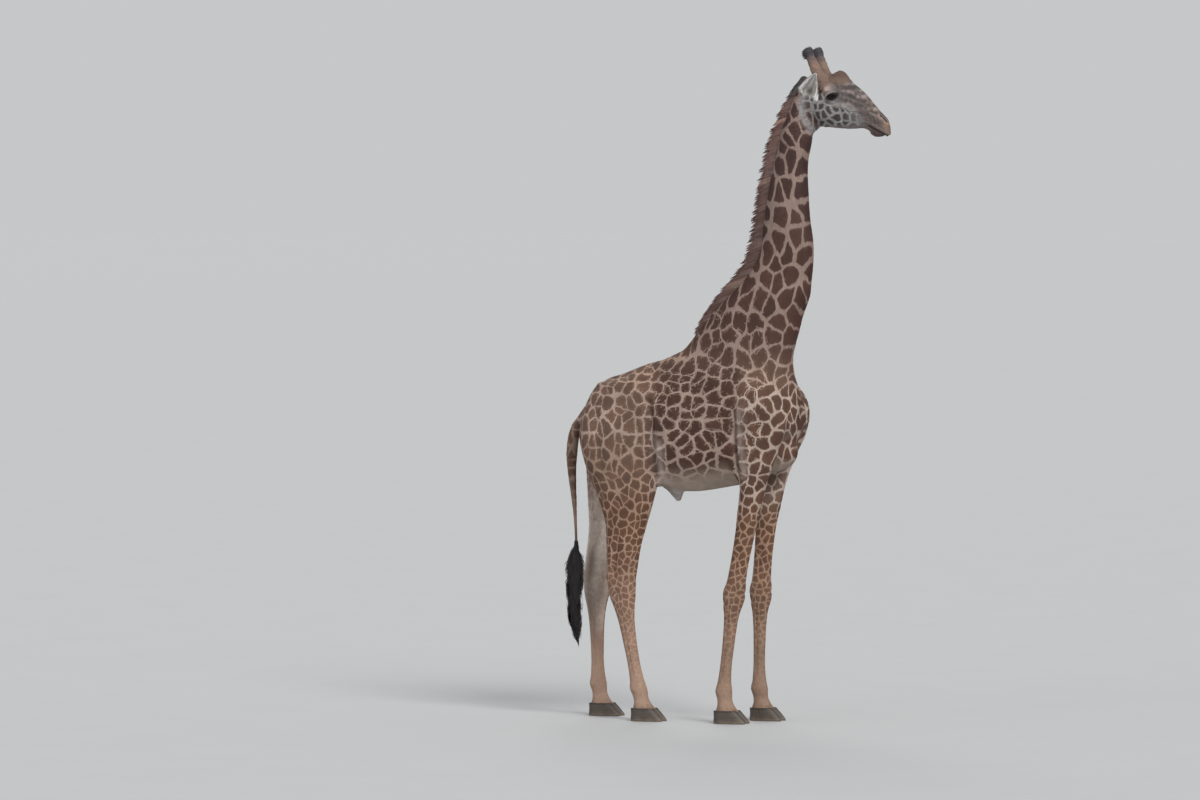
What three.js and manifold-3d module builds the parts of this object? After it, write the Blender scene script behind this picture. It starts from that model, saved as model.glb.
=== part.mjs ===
// A young Masai giraffe bull, life size, standing at rest with its head up.
// Millimetres. +X is forwards, +Y is the animal's left, +Z is up, and the floor is z = 0.
//
// Flesh is made of stacks: smooth bodies given by the oval outline of a few cross-sections.
// The stacks are joined into one whole body, which is then parted with thin cuts into the
// parts that a person would name. Horns, ears, eyes, mane, tail and claws are solids of their own.
import * as THREE from "three";
import { mergeVertices } from "three/addons/utils/BufferGeometryUtils.js";
import Module from "manifold-3d";

const wasm = await Module();
wasm.setup();

// ---------------------------------------------------------------- driving dimensions
const GAP = 0.4; // free space left by every cut
const BODY_SHIFT = new THREE.Vector3(-280.5, 0, 0); // puts the origin under the middle of the whole animal
const HEAD_PLACE = new THREE.Vector3(1124, 0, 4415); // midway between the eyes
const HEAD_TURN = THREE.MathUtils.degToRad(-4); // the head looks slightly to its right
const EYE = { x: -8, y: 83, z: 4, radius: 30 };
const HORN = { base: [-111, 60, 112], tip: [-209, 85, 343] };
const EAR = { root: [-186, 82, -16], tip: [-100, 164, 166], thickness: 9, cup: 0.45 };
const EAR_EDGES = [ // share of the ear's length, its rear edge and its front edge
  [0, 42, -42],
  [0.2, 92, -48],
  [0.4, 80, -47],
  [0.6, 58, -37],
  [0.8, 33, -23],
  [0.93, 15, -13],
  [1, 4, -4],
];
const CLAW = { height: 92, spread: 45 };
const ANKLE_CUT = CLAW.height;
const WRIST_CUT = 1000;
const ELBOW_CUT = 1700;
const HOCK_CUT = 1000;
const STIFLE_CUT = 1500;
const NECK_CUT = 3500;

// ---------------------------------------------------------------- cross-sections
// A row is: place along the stack's axis, centre fore-and-aft or up, centre sideways,
// half length fore-and-aft or up, half width, and how much narrower the far end is (egg).
const TRUNK = [
  [-812, 2110, 0, 80, 58, 0],
  [-785, 2105, 0, 135, 112, 0],
  [-722, 2105, 0, 232, 182, -0.05],
  [-620, 2115, 0, 314, 228, 0],
  [-500, 2112, 0, 354, 250, 0.05],
  [-345, 2110, 0, 415, 268, 0.1],
  [-200, 2110, 0, 455, 285, 0.15],
  [-60, 2125, 0, 500, 295, 0.22],
  [100, 2160, 0, 535, 292, 0.28],
  [280, 2190, 0, 535, 275, 0.34],
  [450, 2190, 0, 500, 250, 0.36],
  [600, 2190, 0, 420, 220, 0.3],
  [720, 2190, 0, 318, 180, 0.2],
  [800, 2190, 0, 215, 130, 0.1],
  [848, 2195, 0, 100, 62, 0],
];
const NECK = [
  [2250, 420, 0, 320, 190, -0.2],
  [2400, 405, 0, 378, 205, -0.2],
  [2580, 385, 0, 395, 200, -0.2],
  [2680, 405, 0, 396, 192, -0.2],
  [2779, 455, 0, 376, 175, -0.2],
  [2879, 509, 0, 350, 158, -0.2],
  [3020, 608, 0, 305, 140, -0.2],
  [3120, 665, 0, 258, 128, -0.2],
  [3212, 705, 0, 228, 118, -0.18],
  [3304, 732, 0, 208, 112, -0.16],
  [3403, 742, 0, 195, 108, -0.15],
  [3545, 738, 0, 178, 102, -0.14],
  [3687, 743, 0, 160, 97, -0.12],
  [3829, 752, 0, 145, 92, -0.12],
  [3970, 770, 0, 130, 88, -0.1],
  [4100, 798, 0, 128, 85, -0.1],
  [4200, 818, 0, 117, 83, 0],
  [4290, 841, 0, 102, 82, 0],
  [4380, 872, 0, 95, 80, 0],
  [4460, 892, 0, 76, 70, 0],
  [4508, 902, 0, 44, 42, 0],
];
const HEAD = [
  [-262, 20, 0, 55, 40, 0],
  [-240, 8, 0, 100, 70, 0],
  [-195, -18, 0, 145, 88, -0.05],
  [-130, -28, 0, 178, 97, -0.12],
  [-60, -27, 0, 190, 100, -0.2],
  [0, -26, 0, 196, 98, -0.25],
  [35, -32, 0, 193, 92, -0.25],
  [75, -50, 0, 178, 82, -0.22],
  [118, -66, 0, 162, 72, -0.15],
  [203, -99, 0, 127, 59, -0.05],
  [263, -146, 0, 110, 54, 0],
  [315, -186, 0, 91, 56, 0],
  [354, -208, 0, 74, 55, 0],
  [378, -229, 0, 59, 46, 0],
  [393, -245, 0, 36, 27, 0],
];
const FOREHEAD_BUMP = [
  [-48, 118, 0, 20, 16, 0],
  [-22, 128, 0, 44, 36, 0],
  [15, 136, 0, 52, 46, 0],
  [50, 122, 0, 48, 42, 0],
  [92, 88, 0, 30, 26, 0],
];
const SHEATH = [
  [1553, -86, 0, 14, 13, 0],
  [1575, -90, 0, 33, 26, 0],
  [1620, -104, 0, 62, 42, 0],
  [1670, -124, 0, 98, 55, 0],
  [1740, -150, 0, 130, 60, 0],
];

// A leg's girth: height, half length fore-and-aft, half width, the same for both of a pair.
const FORELEG_GIRTH = [
  [2470, 105, 58],
  [2350, 180, 82],
  [2200, 205, 96],
  [2050, 185, 97],
  [1900, 150, 89],
  [1780, 120, 80],
  [1650, 101, 70],
  [1500, 90, 62],
  [1350, 79, 56],
  [1150, 71, 51],
  [1010, 73, 54],
  [920, 82, 60],
  [850, 79, 58],
  [780, 62, 50],
  [700, 53, 43],
  [550, 47, 39],
  [400, 46, 38],
  [300, 52, 44],
  [230, 62, 54],
  [160, 58, 54],
  [110, 70, 68],
  [84, 84, 80],
];
const HINDLEG_GIRTH = [
  [2400, 170, 56],
  [2300, 230, 88],
  [2150, 284, 115],
  [2000, 300, 128],
  [1850, 285, 122],
  [1700, 260, 106],
  [1550, 212, 90],
  [1400, 165, 74],
  [1250, 138, 63],
  [1100, 122, 56],
  [1000, 112, 53],
  [920, 106, 54],
  [860, 96, 52],
  [800, 81, 48],
  [700, 64, 43],
  [550, 54, 40],
  [400, 50, 39],
  [300, 55, 45],
  [230, 64, 54],
  [160, 59, 54],
  [110, 70, 68],
  [84, 84, 80],
];
// A leg's line down its middle: height, place forwards, place sideways (on the leg's own side).
const RIGHT_FORELEG = [
  [2470, 540, 170],
  [2350, 575, 195],
  [2200, 615, 202],
  [2050, 612, 200],
  [1900, 590, 190],
  [1780, 570, 184],
  [1650, 545, 176],
  [1350, 490, 171],
  [920, 408, 170],
  [550, 363, 174],
  [230, 334, 181],
  [84, 356, 184],
];
const LEFT_FORELEG = [
  [2470, 545, 170],
  [2350, 595, 195],
  [2200, 626, 202],
  [2050, 625, 200],
  [1900, 595, 190],
  [1780, 575, 184],
  [1650, 555, 176],
  [1350, 510, 171],
  [920, 475, 170],
  [550, 463, 174],
  [230, 462, 181],
  [84, 486, 184],
];
const RIGHT_HINDLEG = [
  [2400, -480, 130],
  [2300, -482, 145],
  [2150, -484, 160],
  [2000, -480, 172],
  [1850, -460, 178],
  [1700, -432, 178],
  [1450, -412, 176],
  [1300, -430, 173],
  [1100, -448, 170],
  [900, -450, 168],
  [800, -434, 168],
  [550, -388, 171],
  [230, -318, 180],
  [84, -276, 184],
];
const LEFT_HINDLEG = [
  [2400, -490, 130],
  [2300, -508, 145],
  [2150, -530, 160],
  [2000, -562, 172],
  [1850, -610, 178],
  [1700, -645, 178],
  [1450, -680, 176],
  [1300, -712, 173],
  [1100, -758, 170],
  [900, -784, 168],
  [800, -788, 168],
  [550, -785, 171],
  [230, -778, 180],
  [84, -752, 184],
];
// Each claw of a cloven hoof, about its own middle.
const CLAW_SECTIONS = [
  [0, 36, 0, 118, 42, 0.28],
  [10, 36, 0, 119, 43, 0.28],
  [52, 20, 0, 100, 41, 0.2],
  [CLAW.height, 0, 0, 82, 36, 0.1],
];
const TAIL = [
  [2225, -765, 0, 46, 38, 0],
  [2150, -815, 0, 50, 42, 0],
  [2087, -862, 0, 50, 42, 0],
  [2006, -893, 0, 47, 40, 0],
  [1935, -905, 0, 47, 39, 0],
  [1864, -911, 0, 46, 37, 0],
  [1783, -911, 0, 40, 33, 0],
  [1681, -904, 0, 34, 29, 0],
  [1580, -895, 0, 27, 24, 0],
  [1479, -887, 0, 20, 18, 0],
  [1354, -880, 0, 16, 15, 0],
  [1232, -875, 0, 14, 13, 0],
];
const TAIL_TUFT = [
  [1236, -876, 0, 17, 16, 0],
  [1190, -882, 0, 38, 34, 0],
  [1113, -888, 0, 60, 50, 0],
  [1014, -884, 0, 60, 52, 0],
  [851, -890, 0, 56, 48, 0],
  [695, -886, 0, 48, 42, 0],
  [580, -874, 0, 30, 27, 0],
  [490, -862, 0, 9, 9, 0],
];
// The mane's ridge: its crest stands behind the neck and its root runs inside it.
const MANE = [
  [2725, 84, 0, 52, 12, 0],
  [2785, 108, 0, 66, 16, 0],
  [2879, 182, 0, 82, 20, 0],
  [3020, 310, 0, 108, 24, 0],
  [3120, 410, 0, 118, 25, 0],
  [3212, 478, 0, 106, 25, 0],
  [3403, 545, 0, 106, 25, 0],
  [3687, 592, 0, 104, 25, 0],
  [3829, 617, 0, 104, 25, 0],
  [3970, 646, 0, 102, 24, 0],
  [4100, 678, 0, 98, 24, 0],
  [4200, 712, 0, 92, 24, 0],
  [4290, 750, 0, 90, 24, 0],
  [4380, 792, 0, 82, 24, 0],
  [4460, 830, 0, 66, 24, 0],
  [4520, 856, 0, 46, 22, 0],
  [4560, 872, 0, 20, 12, 0],
];

// Bony and muscular swellings: place, half sizes; those with a sideways place come in pairs.
const BODY_LUMPS = [
  { at: [-330, 150, 2270], size: [260, 118, 160] }, // point of the hip
  { at: [-330, 150, 1830], size: [210, 128, 190] }, // stifle and flank fold
  { at: [700, 120, 2190], size: [160, 110, 180] }, // point of the shoulder
  { at: [600, 0, 1920], size: [220, 150, 160] }, // brisket
  { at: [490, 165, 1790], size: [90, 70, 100] }, // elbow
];
const HEAD_LUMPS = [
  { at: [-34, 76, 42], size: [56, 40, 40] }, // brow and upper lid
  { at: [-62, 62, -86], size: [98, 34, 84] }, // cheek muscle
  { at: [328, 33, -167], size: [38, 23, 27] }, // wing of the nostril
  { at: [300, 0, -246], size: [54, 38, 38] }, // chin
  { at: [-203, 0, -192], size: [54, 48, 50] }, // throat
];

// Outlines of the parts as seen from the right, going from X to Z; each is cut through the whole body
// or through one side of it.
const FOREARM_REGION = [
  [250, WRIST_CUT],
  [700, WRIST_CUT],
  [800, ELBOW_CUT],
  [420, ELBOW_CUT],
];
const SHOULDER_REGION = [
  [420, ELBOW_CUT],
  [800, ELBOW_CUT],
  [900, 2000],
  [930, 2240],
  [820, 2400],
  [600, 2500],
  [460, 2480],
  [390, 2250],
  [400, 1950],
];
const HAUNCH_REGION = [
  [-1000, STIFLE_CUT],
  [-175, STIFLE_CUT],
  [-180, 2000],
  [-205, 2260],
  [-320, 2380],
  [-500, 2425],
  [-700, 2400],
  [-1000, 2200],
];
const JAW_REGION = [
  [-190, -310],
  [360, -310],
  [350, -262],
  [250, -206],
  [90, -165],
  [-70, -140],
  [-170, -180],
];
const HEAD_REGION = [
  [1010, 4165],
  [1700, 3900],
  [1700, 4900],
  [650, 4900],
  [815, 4560],
];
const NECK_ROOT_REGION = [
  [-100, 2745],
  [1000, 2355],
  [1400, 2355],
  [1400, NECK_CUT],
  [-100, NECK_CUT],
];

// ---------------------------------------------------------------- shapes
/** The rows of a table as smooth curves: cubic spans through the rows, cut into steps of their own. */
function smoothRows(rows, steps) {
  const ordered = rows[0][0] > rows.at(-1)[0] ? [...rows].reverse() : rows;
  const slope = (i, k) => {
    const a = ordered[Math.max(i - 1, 0)];
    const b = ordered[Math.min(i + 1, ordered.length - 1)];
    return (b[k] - a[k]) / (b[0] - a[0]);
  };
  const out = [];
  for (let i = 0; i < ordered.length - 1; i++) {
    const span = ordered[i + 1][0] - ordered[i][0];
    for (let j = 0; j < steps; j++) {
      const t = j / steps;
      const h1 = t * t * (3 - 2 * t);
      const d0 = t * (1 - t) * (1 - t);
      const d1 = t * t * (t - 1);
      out.push(
        ordered[i].map(
          (v, k) => v + (ordered[i + 1][k] - v) * h1 + span * (slope(i, k) * d0 + slope(i + 1, k) * d1),
        ),
      );
    }
  }
  out.push(ordered.at(-1));
  return out;
}

/** The value of column k of a table at a height, on the same smooth curve. */
function valueAt(rows, height, k) {
  const fine = smoothRows(rows, 12);
  const i = Math.max(1, fine.findIndex((r) => r[0] >= height));
  const t = (height - fine[i - 1][0]) / (fine[i][0] - fine[i - 1][0]);
  return fine[i - 1][k] + t * (fine[i][k] - fine[i - 1][k]);
}

/** A closed body from rings of points: side walls between rings, and a fan over each end. */
function closedBody(rings) {
  const sides = rings[0].length;
  const points = rings.flat();
  const index = [];
  for (let i = 0; i < rings.length - 1; i++) {
    for (let j = 0; j < sides; j++) {
      const a = i * sides + j;
      const b = i * sides + ((j + 1) % sides);
      index.push(a, b, b + sides, a, b + sides, a + sides);
    }
  }
  const middle = (ring) => ring.reduce((s, p) => s.add(p), new THREE.Vector3()).divideScalar(sides);
  const last = (rings.length - 1) * sides;
  points.push(middle(rings[0]), middle(rings.at(-1)));
  for (let j = 0; j < sides; j++) {
    const k = (j + 1) % sides;
    index.push(points.length - 2, k, j, points.length - 1, last + j, last + k);
  }
  return new THREE.BufferGeometry().setFromPoints(points).setIndex(index);
}

/** A stack of oval sections along "x" (sections stand up) or "z" (sections lie flat). */
function stack(axis, rows, { steps = 1, sides = 20, grow = 0 } = {}) {
  const rings = smoothRows(rows, steps).map(([s, centre, side, half, width, egg]) => {
    const ring = [];
    for (let j = 0; j < sides; j++) {
      const a = (2 * Math.PI * j) / sides;
      const along = Math.cos(a);
      const across = Math.sin(a) * (1 - egg * along);
      const m = centre + (half + grow) * along;
      const y = side + (width + grow) * across;
      ring.push(axis === "x" ? new THREE.Vector3(s, y, m) : new THREE.Vector3(m, y, s));
    }
    return axis === "x" ? ring.reverse() : ring;
  });
  return closedBody(rings);
}

/** A leg's rows: its girth carried down its joint line. side is -1 for right and 1 for left. */
function legRows(girth, line, side) {
  return girth.map(([z, half, width]) => [
    z,
    valueAt(line, z, 1),
    side * valueAt(line, z, 2),
    half,
    width,
    0,
  ]);
}

/** An outline drawn in by the same distance along every edge. It runs anticlockwise. */
function insetOutline(outline, distance) {
  const points = outline.map((p) => new THREE.Vector2(...p));
  const inward = (p, q) => new THREE.Vector2(p.y - q.y, q.x - p.x).normalize();
  return points.map((p, i) => {
    const a = inward(points.at(i - 1), p);
    const b = inward(p, points[(i + 1) % points.length]);
    return a.clone().add(b).multiplyScalar(distance / (1 + a.dot(b))).add(p);
  });
}

/** An outline in the x-z plane as a slab from y0 to y1, drawn in by inset all round. */
function sideSlab(outline, y0, y1, inset = 0) {
  const shape = new THREE.Shape(insetOutline(outline, inset));
  return new THREE.ExtrudeGeometry(shape, { depth: y1 - y0 - 2 * inset, bevelEnabled: false })
    .rotateX(Math.PI / 2)
    .translate(0, y1 - inset, 0);
}

/** A box between two corners, drawn in by inset. */
function block([x0, y0, z0], [x1, y1, z1], inset = 0) {
  const size = [x1 - x0, y1 - y0, z1 - z0].map((d) => d - 2 * inset);
  return new THREE.BoxGeometry(...size).translate((x0 + x1) / 2, (y0 + y1) / 2, (z0 + z1) / 2);
}

/** Swellings as ellipsoids, once on the midline or on both sides. */
function lumps(list, grow) {
  return list.flatMap(({ at: [x, y, z], size }) =>
    (y === 0 ? [0] : [-1, 1]).map((side) =>
      new THREE.SphereGeometry(1, 8, 6)
        .scale(...size.map((r) => r + grow))
        .translate(x, side * y, z),
    ),
  );
}

/** A round horn with a knob at its tip, from its buried base to its top. side is -1 or 1. */
function horn(side, grow = 0) {
  const [base, tip] = [HORN.base, HORN.tip].map(([x, y, z]) => new THREE.Vector3(x, side * y, z));
  const length = base.distanceTo(tip);
  const profile = [
    [0, 0],
    [58, 0],
    [50, 0.14],
    [39, 0.28],
    [36, 0.45],
    [32, 0.62],
    [31, 0.74],
    [36, 0.85],
    [34, 0.93],
    [22, 0.985],
    [0, 1],
  ].map(([radius, t]) => new THREE.Vector2(radius && radius + grow, t * length));
  const upright = new THREE.Vector3(0, 1, 0);
  const turn = new THREE.Quaternion().setFromUnitVectors(upright, tip.clone().sub(base).normalize());
  return new THREE.LatheGeometry(profile, 10).applyQuaternion(turn).translate(...base);
}

/** A cupped leaf: the ear, widest below its middle, opening outwards and forwards. side is -1 or 1. */
function ear(side) {
  const [root, tip] = [EAR.root, EAR.tip].map(([x, y, z]) => new THREE.Vector3(x, side * y, z));
  const along = tip.clone().sub(root).normalize();
  const across = new THREE.Vector3(-0.86, side * 0.1, 0.5);
  across.addScaledVector(along, -across.dot(along)).normalize();
  const outward = new THREE.Vector3().crossVectors(along, across).multiplyScalar(-side);
  const length = root.distanceTo(tip);
  const rows = 8;
  const columns = 4;
  const rings = [];
  for (let i = 0; i <= rows; i++) {
    const t = i / rows;
    const [rear, front] = [1, 2].map((k) => valueAt(EAR_EDGES, t, k));
    const half = (rear - front) / 2;
    const lean = (rear + front) / 2;
    const place = (u, lift) =>
      root
        .clone()
        .addScaledVector(along, t * length)
        .addScaledVector(across, lean + half * u)
        .addScaledVector(outward, EAR.cup * half * (u * u - 0.6) + lift);
    const ring = [];
    for (let j = 0; j <= columns; j++) ring.push(place(-1 + (2 * j) / columns, EAR.thickness / 2));
    for (let j = columns; j >= 0; j--) ring.push(place(-1 + (2 * j) / columns, -EAR.thickness / 2));
    rings.push(side > 0 ? ring : ring.reverse());
  }
  return closedBody(rings);
}

// ---------------------------------------------------------------- solids
/** A three.js geometry as a manifold solid. */
function solidOf(geometry) {
  const bare = geometry.clone();
  bare.deleteAttribute("normal");
  bare.deleteAttribute("uv");
  const merged = mergeVertices(bare, 1e-3);
  return new wasm.Manifold(
    new wasm.Mesh({
      numProp: 3,
      vertProperties: merged.attributes.position.array,
      triVerts: new Uint32Array(merged.index.array),
    }),
  );
}

/** A geometry in the head's own frame, put in its place on the neck. */
function onHead(geometry) {
  return geometry.rotateZ(HEAD_TURN).translate(HEAD_PLACE.x, HEAD_PLACE.y, HEAD_PLACE.z);
}

/** The largest single piece of a solid, without the crumbs that a cut may leave. */
function largest(solid) {
  return solid.decompose().sort((a, b) => b.volume() - a.volume())[0];
}

const giraffe = new THREE.Group();
giraffe.position.copy(BODY_SHIFT);

const COATS = {
  coat: { color: 0x8a6a58, roughness: 0.85, metalness: 0 },
  pale_coat: { color: 0xa8998c, roughness: 0.85, metalness: 0 },
  mane: { color: 0x5c4238, roughness: 0.9, metalness: 0 },
  tuft: { color: 0x211d1e, roughness: 0.8, metalness: 0 },
  horn: { color: 0x5b4a44, roughness: 0.85, metalness: 0 },
  claw: { color: 0x4a4038, roughness: 0.6, metalness: 0 },
  eye: { color: 0x140f0d, roughness: 0.1, metalness: 0 },
};

/** Adds a solid to the giraffe as one named mesh. */
function addNode(name, solid, coat) {
  const { vertProperties, triVerts, numProp } = largest(solid).getMesh();
  const positions = new Float32Array((vertProperties.length / numProp) * 3);
  for (let i = 0; i < positions.length / 3; i++) {
    positions.set(vertProperties.subarray(i * numProp, i * numProp + 3), i * 3);
  }
  const geometry = new THREE.BufferGeometry()
    .setAttribute("position", new THREE.BufferAttribute(positions, 3))
    .setIndex(new THREE.BufferAttribute(triVerts, 1));
  geometry.computeVertexNormals();
  const mesh = new THREE.Mesh(geometry, new THREE.MeshStandardMaterial(COATS[coat]));
  mesh.name = name;
  giraffe.add(mesh);
}

const SIDES = { right: -1, left: 1 };
const LEGS = {
  fore_right: legRows(FORELEG_GIRTH, RIGHT_FORELEG, SIDES.right),
  fore_left: legRows(FORELEG_GIRTH, LEFT_FORELEG, SIDES.left),
  hind_right: legRows(HINDLEG_GIRTH, RIGHT_HINDLEG, SIDES.right),
  hind_left: legRows(HINDLEG_GIRTH, LEFT_HINDLEG, SIDES.left),
};

/** The whole body of flesh, with grow for the room that its neighbours keep from it. */
function wholeBody(grow) {
  const parts = [
    stack("x", TRUNK, { sides: 16, grow }),
    stack("z", NECK, { sides: 14, grow }),
    stack("z", SHEATH, { sides: 8, grow }),
    onHead(stack("x", HEAD, { sides: 12, grow })),
    onHead(stack("x", FOREHEAD_BUMP, { sides: 8, grow })),
    ...lumps(BODY_LUMPS, grow),
    ...lumps(HEAD_LUMPS, grow).map(onHead),
    ...Object.values(LEGS).map((rows) => stack("z", rows, { sides: 10, grow })),
  ];
  return parts.map(solidOf).reduce((a, b) => a.add(b));
}

/** An eyeball, set in the side of the head. */
function eyeball(side, grow) {
  const ball = new THREE.SphereGeometry(EYE.radius + grow, 10, 6);
  return onHead(ball.translate(EYE.x, side * EYE.y, EYE.z));
}

/** The body of flesh, parted into its nodes. */
function addFlesh() {
  let body = wholeBody(0);
  for (const side of Object.values(SIDES)) body = body.subtract(solidOf(eyeball(side, GAP)));
  body = body.subtract(solidOf(block([-2000, -600, -10], [2000, 600, ANKLE_CUT + GAP])));

  /** Parts a region from the body: region(inset) is a geometry, and the part keeps a gap to the rest. */
  const part = (name, region, coat = "coat") => {
    addNode(name, body.intersect(solidOf(region(GAP))), coat);
    body = body.subtract(solidOf(region(0)));
  };
  for (const [name, side] of Object.entries(SIDES)) {
    const strip = (inner, outer) => (side > 0 ? [inner, outer] : [-outer, -inner]);
    const [inside, outside] = strip(1, 460);
    part(`forecannon_${name}`, (inset) => block([100, inside, 0], [900, outside, WRIST_CUT], inset));
    part(`hindcannon_${name}`, (inset) => block([-1200, inside, 0], [0, outside, HOCK_CUT], inset));
    part(`gaskin_${name}`, (inset) => block([-1200, inside, HOCK_CUT], [0, outside, STIFLE_CUT], inset));
    part(`forearm_${name}`, (inset) => sideSlab(FOREARM_REGION, ...strip(60, 460), inset));
    part(`haunch_${name}`, (inset) => sideSlab(HAUNCH_REGION, ...strip(50, 460), inset));
    part(`shoulder_${name}`, (inset) => sideSlab(SHOULDER_REGION, ...strip(100, 460), inset));
  }
  part("sheath", (inset) => block([-300, -90, 1400], [40, 90, 1658], inset), "pale_coat");
  part("lower_jaw", (inset) => onHead(sideSlab(JAW_REGION, -200, 200, inset)), "pale_coat");
  part("head", (inset) => sideSlab(HEAD_REGION, -400, 400, inset));
  part("neck_upper", (inset) => block([200, -400, NECK_CUT], [1600, 400, 4900], inset));
  part("neck_lower", (inset) => sideSlab(NECK_ROOT_REGION, -500, 500, inset));
  addNode("trunk", body, "coat");
}

/** Eyes, horns, ears, mane, tail and claws, each clear of the flesh by the gap. */
function addTrimmings() {
  const flesh = wholeBody(GAP);
  for (const [name, side] of Object.entries(SIDES)) {
    addNode(`eye_${name}`, solidOf(eyeball(side, 0)), "eye");
    addNode(`ossicone_${name}`, solidOf(onHead(horn(side))).subtract(flesh), "horn");
    const hornRoom = solidOf(onHead(horn(side, GAP)));
    addNode(`ear_${name}`, solidOf(onHead(ear(side))).subtract(flesh).subtract(hornRoom), "pale_coat");
  }
  addNode("mane", solidOf(stack("z", MANE, { sides: 6 })).subtract(flesh), "mane");
  const aboveTuft = solidOf(block([-1100, -100, TAIL_TUFT[0][0] + GAP], [-600, 100, 2400]));
  addNode("tail", solidOf(stack("z", TAIL, { sides: 6 })).subtract(flesh).intersect(aboveTuft), "coat");
  addNode("tail_tuft", solidOf(stack("z", TAIL_TUFT, { sides: 6 })), "tuft");

  for (const [leg, rows] of Object.entries(LEGS)) {
    const [, footX, footY] = rows.at(-1);
    const outwards = Math.sign(footY);
    for (const [name, side] of Object.entries({ inner: -outwards, outer: outwards })) {
      const claw = stack("z", CLAW_SECTIONS, { sides: 9 });
      claw.translate(footX, footY + side * CLAW.spread, 0);
      addNode(`claw_${leg}_${name}`, solidOf(claw), "claw");
    }
  }
}

addFlesh();
addTrimmings();
export default giraffe;
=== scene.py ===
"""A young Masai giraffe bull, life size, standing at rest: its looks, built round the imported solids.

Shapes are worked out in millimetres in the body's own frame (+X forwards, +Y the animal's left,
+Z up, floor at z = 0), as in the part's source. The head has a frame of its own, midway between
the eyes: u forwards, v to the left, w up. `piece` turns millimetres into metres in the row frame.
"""
from collections import namedtuple

import bpy
import numpy as np
import openvdb as vdb
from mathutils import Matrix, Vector


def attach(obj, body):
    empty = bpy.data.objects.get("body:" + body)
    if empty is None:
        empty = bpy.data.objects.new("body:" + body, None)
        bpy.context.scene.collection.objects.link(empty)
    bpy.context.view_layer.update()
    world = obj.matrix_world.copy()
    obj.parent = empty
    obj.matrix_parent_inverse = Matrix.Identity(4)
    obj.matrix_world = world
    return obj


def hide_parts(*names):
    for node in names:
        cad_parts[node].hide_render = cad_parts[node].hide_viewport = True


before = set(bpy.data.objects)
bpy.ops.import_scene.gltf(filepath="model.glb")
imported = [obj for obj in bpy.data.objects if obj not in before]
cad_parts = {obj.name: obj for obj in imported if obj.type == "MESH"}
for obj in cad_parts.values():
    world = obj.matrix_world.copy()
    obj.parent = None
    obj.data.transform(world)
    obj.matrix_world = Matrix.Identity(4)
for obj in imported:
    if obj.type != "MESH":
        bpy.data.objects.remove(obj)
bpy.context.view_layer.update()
rng = np.random.default_rng(7)

# ---------------------------------------------------------------- the body's measures
BODY_SHIFT = np.array([-280.5, 0.0, 0.0])  # from the body's frame to the row frame
HEAD_PLACE = np.array([1124.0, 0.0, 4415.0])
HEAD_TURN = np.radians(-4.0)
EYE = np.array([-8.0, 83.0, 4.0])
EYE_RADIUS, LID_THICKNESS = 30.0, 5.5
LID_LEAN, LID_HALF = (0.97, 0.24), 30.0  # cosine and sine of the gap's lean, half its length
ALMOND_LEAN, ALMOND_HALF = (0.95, 0.31), 66.0  # the same of the dark ring round the lids: dark lid skin and painted shade
HORN_BASE = np.array([-111.0, 60.0, 112.0])
HORN_TIP = np.array([-209.0, 85.0, 343.0])
EAR_ROOT = np.array([-186.0, 82.0, -16.0])
EAR_TIP = np.array([-100.0, 164.0, 166.0])
EAR_CUP, EAR_THICKNESS = 0.45, 9.0
EAR_EDGES = [  # share of the ear's length, its rear edge and its front edge
    (0, 42, -42), (0.2, 92, -48), (0.4, 80, -47), (0.6, 58, -37), (0.8, 33, -23), (0.93, 15, -13),
    (1, 4, -4),
]
CLAW_SPREAD, LEG_MIDDLE, ANKLE = 45.0, 172.0, 84.0
HEAD_LINE = np.array([(815.0, 4560.0), (1010.0, 4165.0)])  # poll to throat, in x and z
NOSTRIL = np.array([(341, 33, -136), (362, 27, -155), (379, 17, -177)], float)
MOUTH = [(384, -276), (366, -263), (330, -243), (296, -225), (262, -209), (232, -200)]  # in u and w
THROAT_BAND = [(-222, -5), (-243, -80), (-232, -140), (-214, -190), (-176, -234)]  # in u and w
EAR_GAP = [(-150, 150), (-126, 116), (-113, 84), (-105, 50), (-98, 20)]  # ear to horn, in u and w
ARMPIT = [(480, 2220), (486, 2040), (492, 1900), (500, 1780)]  # in x and z
GROIN = [(-140, 1980), (-130, 1840), (-150, 1720)]  # in x and z

# Rows of a stack: place along its axis, centre fore-and-aft or up, half length, half width, egg.
TRUNK = [
    (-812, 2110, 80, 58, 0), (-785, 2105, 135, 112, 0), (-722, 2105, 232, 182, -0.05),
    (-620, 2115, 314, 228, 0), (-500, 2112, 354, 250, 0.05), (-345, 2110, 415, 268, 0.1),
    (-200, 2110, 455, 285, 0.15), (-60, 2125, 500, 295, 0.22), (100, 2160, 535, 292, 0.28),
    (280, 2190, 535, 275, 0.34), (450, 2190, 500, 250, 0.36), (600, 2190, 420, 220, 0.3),
    (720, 2190, 318, 180, 0.2), (800, 2190, 215, 130, 0.1), (848, 2195, 100, 62, 0),
]
NECK = [
    (2250, 420, 320, 190, -0.2), (2400, 405, 378, 205, -0.2), (2580, 385, 395, 200, -0.2),
    (2680, 405, 396, 192, -0.2), (2779, 455, 376, 175, -0.2), (2879, 509, 350, 158, -0.2),
    (3020, 608, 305, 140, -0.2), (3120, 665, 258, 128, -0.2), (3212, 705, 228, 118, -0.18),
    (3304, 732, 208, 112, -0.16), (3403, 742, 195, 108, -0.15), (3545, 738, 178, 102, -0.14),
    (3687, 743, 160, 97, -0.12), (3829, 752, 145, 92, -0.12), (3970, 770, 130, 88, -0.1),
    (4100, 798, 128, 85, -0.1), (4200, 818, 117, 83, 0), (4290, 841, 102, 82, 0),
    (4380, 872, 95, 80, 0), (4460, 892, 76, 70, 0), (4508, 902, 44, 42, 0),
]
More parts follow.
